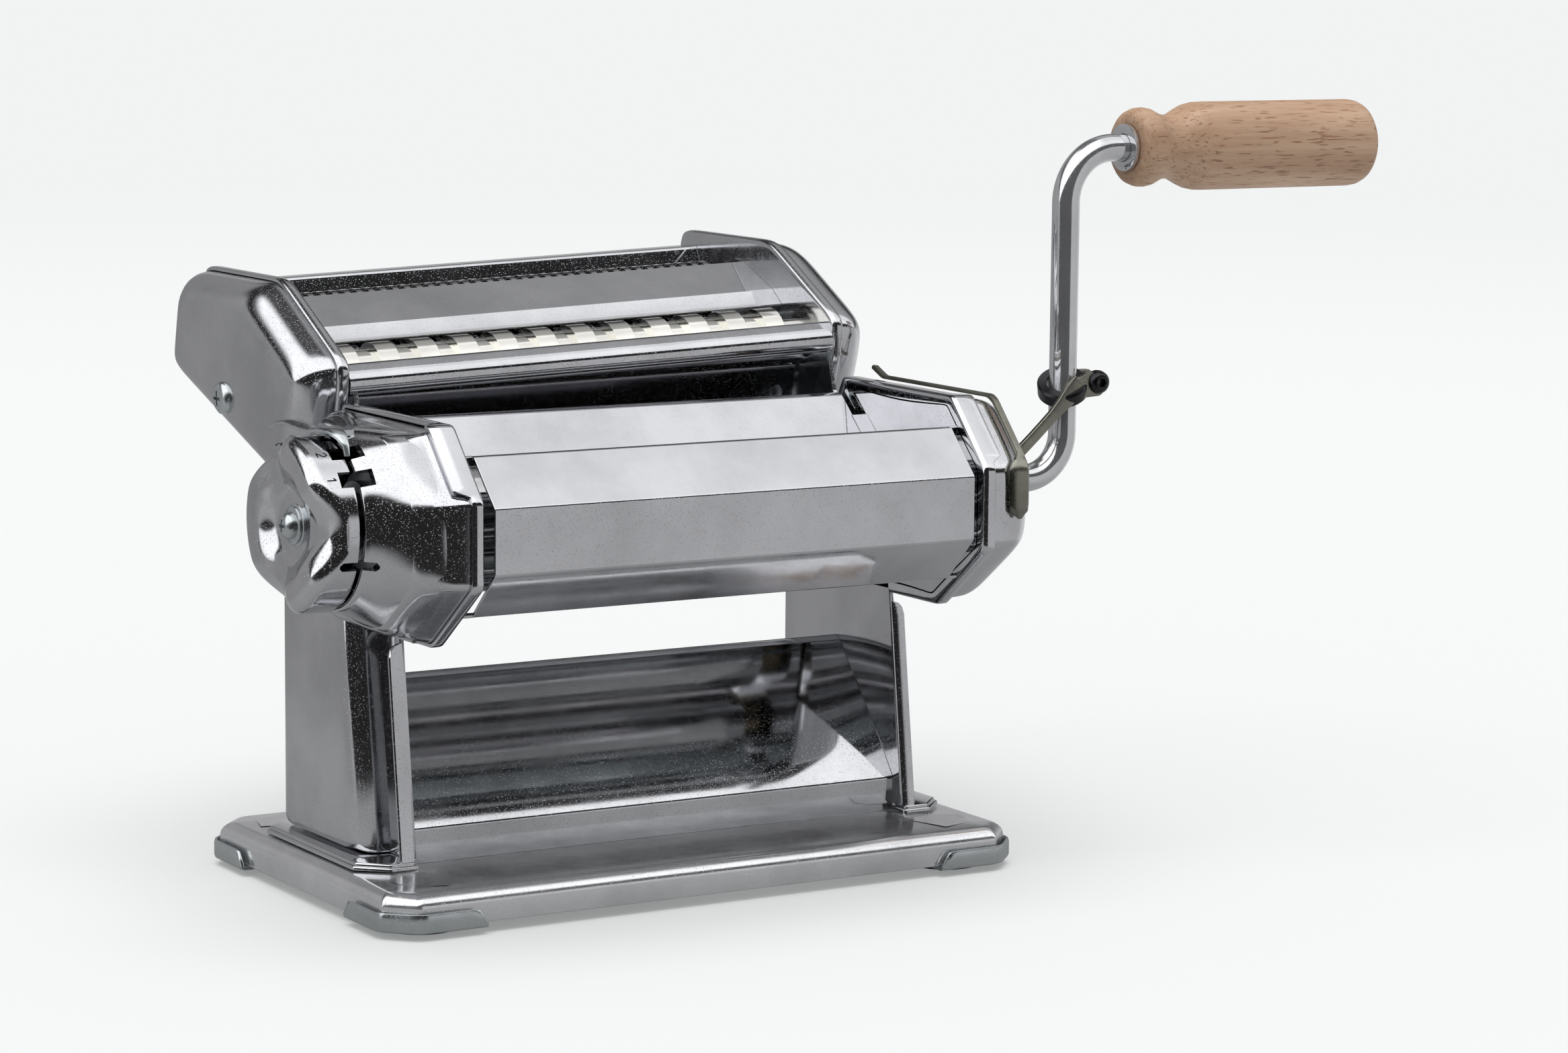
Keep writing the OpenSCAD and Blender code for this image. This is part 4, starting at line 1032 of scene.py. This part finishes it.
def cap_screws():
    """One cross-head screw in the middle of each cap."""
    parts, tools = [], []
    for sx, p in ((-1, (61.5, 138)), (1, (55, 138))):
        h = lathe([(96.2, 4.9), (96.7, 4.9), (97.6, 4.6), (98.3, 3.6), (98.65, 2.2), (98.7, 0.2)], p, "x", 40)
        group = [h, lathe([(82.3, 2), (96.4, 2)], p, "x", 20)] + cross(97.6, 100, p, 2.3, 0.42)
        if sx < 0:
            group = [mirrored(q) for q in group]
        group = [moved(q, TILT) for q in group]
        parts += group[:2]
        tools += group[2:]
    ob = piece("cap_screw_heads", parts, ZINC, "cutter", ["cutter_screws"], sharp=40)
    for bar in tools:
        cut(ob, [bar])


cap_screws()


# ---------- studio ----------
# what the camera sees behind the object, the paper below it, and the paper's own light
BACK = (0.885, 0.900, 0.900)
FLOOR = (0.56, 0.562, 0.560)
FLOOR_GLOW = (0.27, 0.274, 0.274)
# the paper as metal shows it, and its light for everything but the camera
FLOOR_IN_METAL = tuple(c * 0.46 for c in FLOOR)
GLOW_OFF_CAMERA = tuple(c * 0.35 for c in FLOOR_GLOW)
# the room that metal shows, as brightness at degrees above the front horizon: 90 is straight up, 180 behind
ROOM_RIGHT = [(-90, 0.27), (-22, 0.27), (11, 0.30), (17, 0.012), (38, 0.014), (44, 0.66), (60, 0.70),
              (78, 0.57), (88, 0.54), (98, 0.66), (104, 0.24), (128, 0.20), (143, 0.06), (150, 0.008),
              (157, 0.012), (164, 0.20), (178, 0.26), (200, 0.40), (269.9, 0.27)]
ROOM_MID = [(-90, 0.27), (-52, 0.24), (-30, 0.012), (38, 0.012), (44, 0.85), (98, 0.85), (105, 0.05),
            (138, 0.012), (146, 0.02), (153, 0.15), (172, 0.14), (205, 0.17), (269.9, 0.22)]
ROOM_LEFT = [(-90, 0.27), (-52, 0.24), (-30, 0.012), (38, 0.012), (44, 0.85), (120, 0.85), (129, 0.12),
             (136, 0.012), (142, 0.02), (149, 0.19), (172, 0.17), (205, 0.17), (269.9, 0.22)]
ROOM_STRENGTH = 2.0
# the light on matt surfaces, from below, level and above
SKY = [(0.0, (0.10, 0.10, 0.103)), (0.5, (0.20, 0.203, 0.206)), (1.0, (0.62, 0.628, 0.64))]


def fade(nt, src, a, b):
    """0 up to a, 1 from b on, smooth between them."""
    mr = node(nt, "MapRange", Value=src, From_Min=a, From_Max=b)
    mr.interpolation_type = "SMOOTHSTEP"
    return mr.outputs[0]


def mixed(nt, factor, a, b):
    """Shader a where the factor is 0 and b where it is 1."""
    m = node(nt, "MixShader")
    for i, src in enumerate((factor, a, b)):
        nt.links.new(src, m.inputs[i])
    return m.outputs[0]


def floor():
    """Round sheet of paper that fades out far away, and sooner and darker in reflections."""
    n = 96
    rows = [[(r * math.cos(TAU * k / n), r * math.sin(TAU * k / n), 0) for k in range(n)]
            for r in (0.001, 0.4, 1.0, 2.0, 4.0)]
    me = bpy.data.meshes.new("floor")
    verts, faces = grid(rows, caps=(True, False))
    me.from_pydata(verts, [], faces)
    ob = new_object("floor", me)
    m = bpy.data.materials.new("floor_paper")
    nt = empty_tree(m)
    ray = node(nt, "LightPath").outputs
    paper = node(nt, "BsdfDiffuse", Color=chosen(nt, ray["Is Glossy Ray"], FLOOR, FLOOR_IN_METAL))
    glow = node(nt, "Emission", Color=chosen(nt, ray["Is Camera Ray"], GLOW_OFF_CAMERA, FLOOR_GLOW))
    both = node(nt, "AddShader")
    nt.links.new(paper.outputs[0], both.inputs[0])
    nt.links.new(glow.outputs[0], both.inputs[1])
    length = node(nt, "VectorMath")
    length.operation = "LENGTH"
    nt.links.new(node(nt, "TexCoord").outputs["Object"], length.inputs[0])
    away = length.outputs["Value"]
    pick = node(nt, "Mix")
    for i, src in ((0, ray["Is Glossy Ray"]), (2, fade(nt, away, 1.2, 3.2)), (3, fade(nt, away, 0.24, 0.42))):
        nt.links.new(src, pick.inputs[i])
    clear = node(nt, "BsdfTransparent").outputs[0]
    node(nt, "OutputMaterial", Surface=mixed(nt, pick.outputs[0], both.outputs[0], clear))
    me.materials.append(m)
    ob.location = OFF


def world():
    """Pale to the camera; to metal, the room: dark behind the lamps, white boxes above, grey below."""
    w = bpy.data.worlds.new("studio")
    bpy.context.scene.world = w
    nt = empty_tree(w)
    way = node(nt, "SeparateXYZ", Vector=node(nt, "TexCoord").outputs["Generated"]).outputs

    def math_node(op, a, b):
        n = node(nt, "Math")
        n.operation = op
        feed(nt, a, n.inputs[0])
        feed(nt, b, n.inputs[1])
        return n.outputs[0]

    def room(table):
        return ramp(nt, turn, [((p + 90) / 360, (v, v, v * 1.01)) for p, v in table])

    def background(colour, strength=1.0):
        return node(nt, "Background", Color=colour, Strength=strength).outputs[0]
    towards_front = math_node("MULTIPLY", way["Y"], -1.0)
    towards_left = math_node("MULTIPLY", way["X"], -1.0)
    angle = math_node("ARCTAN2", way["Z"], towards_front)
    turn = math_node("FRACT", math_node("ADD", math_node("MULTIPLY", angle, 1 / TAU), 1.25), 0.0)
    left = chosen(nt, fade(nt, towards_left, 0.10, 0.32), room(ROOM_MID), room(ROOM_LEFT))
    around = chosen(nt, fade(nt, towards_left, -0.34, -0.21), room(ROOM_RIGHT), left)
    height = math_node("MULTIPLY", math_node("ADD", way["Z"], 1.0), 0.5)
    sky = ramp(nt, height, SKY)
    lit, pale, shown = background(sky), background(BACK), background(around, ROOM_STRENGTH)
    ray = node(nt, "LightPath").outputs
    for kind, shader in (("Is Camera Ray", pale), ("Is Glossy Ray", shown), ("Is Transmission Ray", pale)):
        lit = mixed(nt, ray[kind], lit, shader)
    node(nt, "OutputWorld", Surface=lit)


def sun(name, towards, angle, power):
    """Soft, even light from one side; a wide angle gives a soft contact shadow."""
    lamp = bpy.data.lights.new(name, "SUN")
    lamp.angle, lamp.energy = math.radians(angle), power
    ob = new_object(name, lamp)
    ob.location = OFF
    ob.rotation_euler = Vector(towards).to_track_quat("Z", "Y").to_euler()
    ob.visible_glossy = False


floor()
world()
sun("top_light", (-0.1, -0.1, 1.0), 60, 2.0)
sun("side_light", (-0.55, -0.45, 0.75), 50, 0.35)


def camera():
    """The photograph's view: focal length in pixels, place in metres, yaw, pitch and roll in degrees."""
    focal, frame_width = 6500, 2334
    place = Vector((-0.6129, -1.1123, 0.2785))
    cam = bpy.data.cameras.new("camera")
    ob = new_object("camera", cam)
    cam.sensor_width, cam.sensor_fit = 36.0, "HORIZONTAL"
    cam.lens = focal / frame_width * 36.0
    cam.clip_start, cam.clip_end = 0.05, 50
    yaw, pitch, roll_angle = (math.radians(v) for v in (31.1, 7.95, 0.53))
    ahead = Vector((math.sin(yaw) * math.cos(pitch), math.cos(yaw) * math.cos(pitch), -math.sin(pitch)))
    right = Vector((math.cos(yaw), -math.sin(yaw), 0))
    up = right.cross(ahead)
    across = math.cos(roll_angle) * right + math.sin(roll_angle) * up
    over = -math.sin(roll_angle) * right + math.cos(roll_angle) * up
    m = Matrix((across, over, -ahead)).transposed().to_4x4()
    m.translation = place + OFF
    ob.matrix_world = m
    bpy.context.scene.camera = ob


camera()
bpy.context.scene.view_settings.view_transform = "Standard"
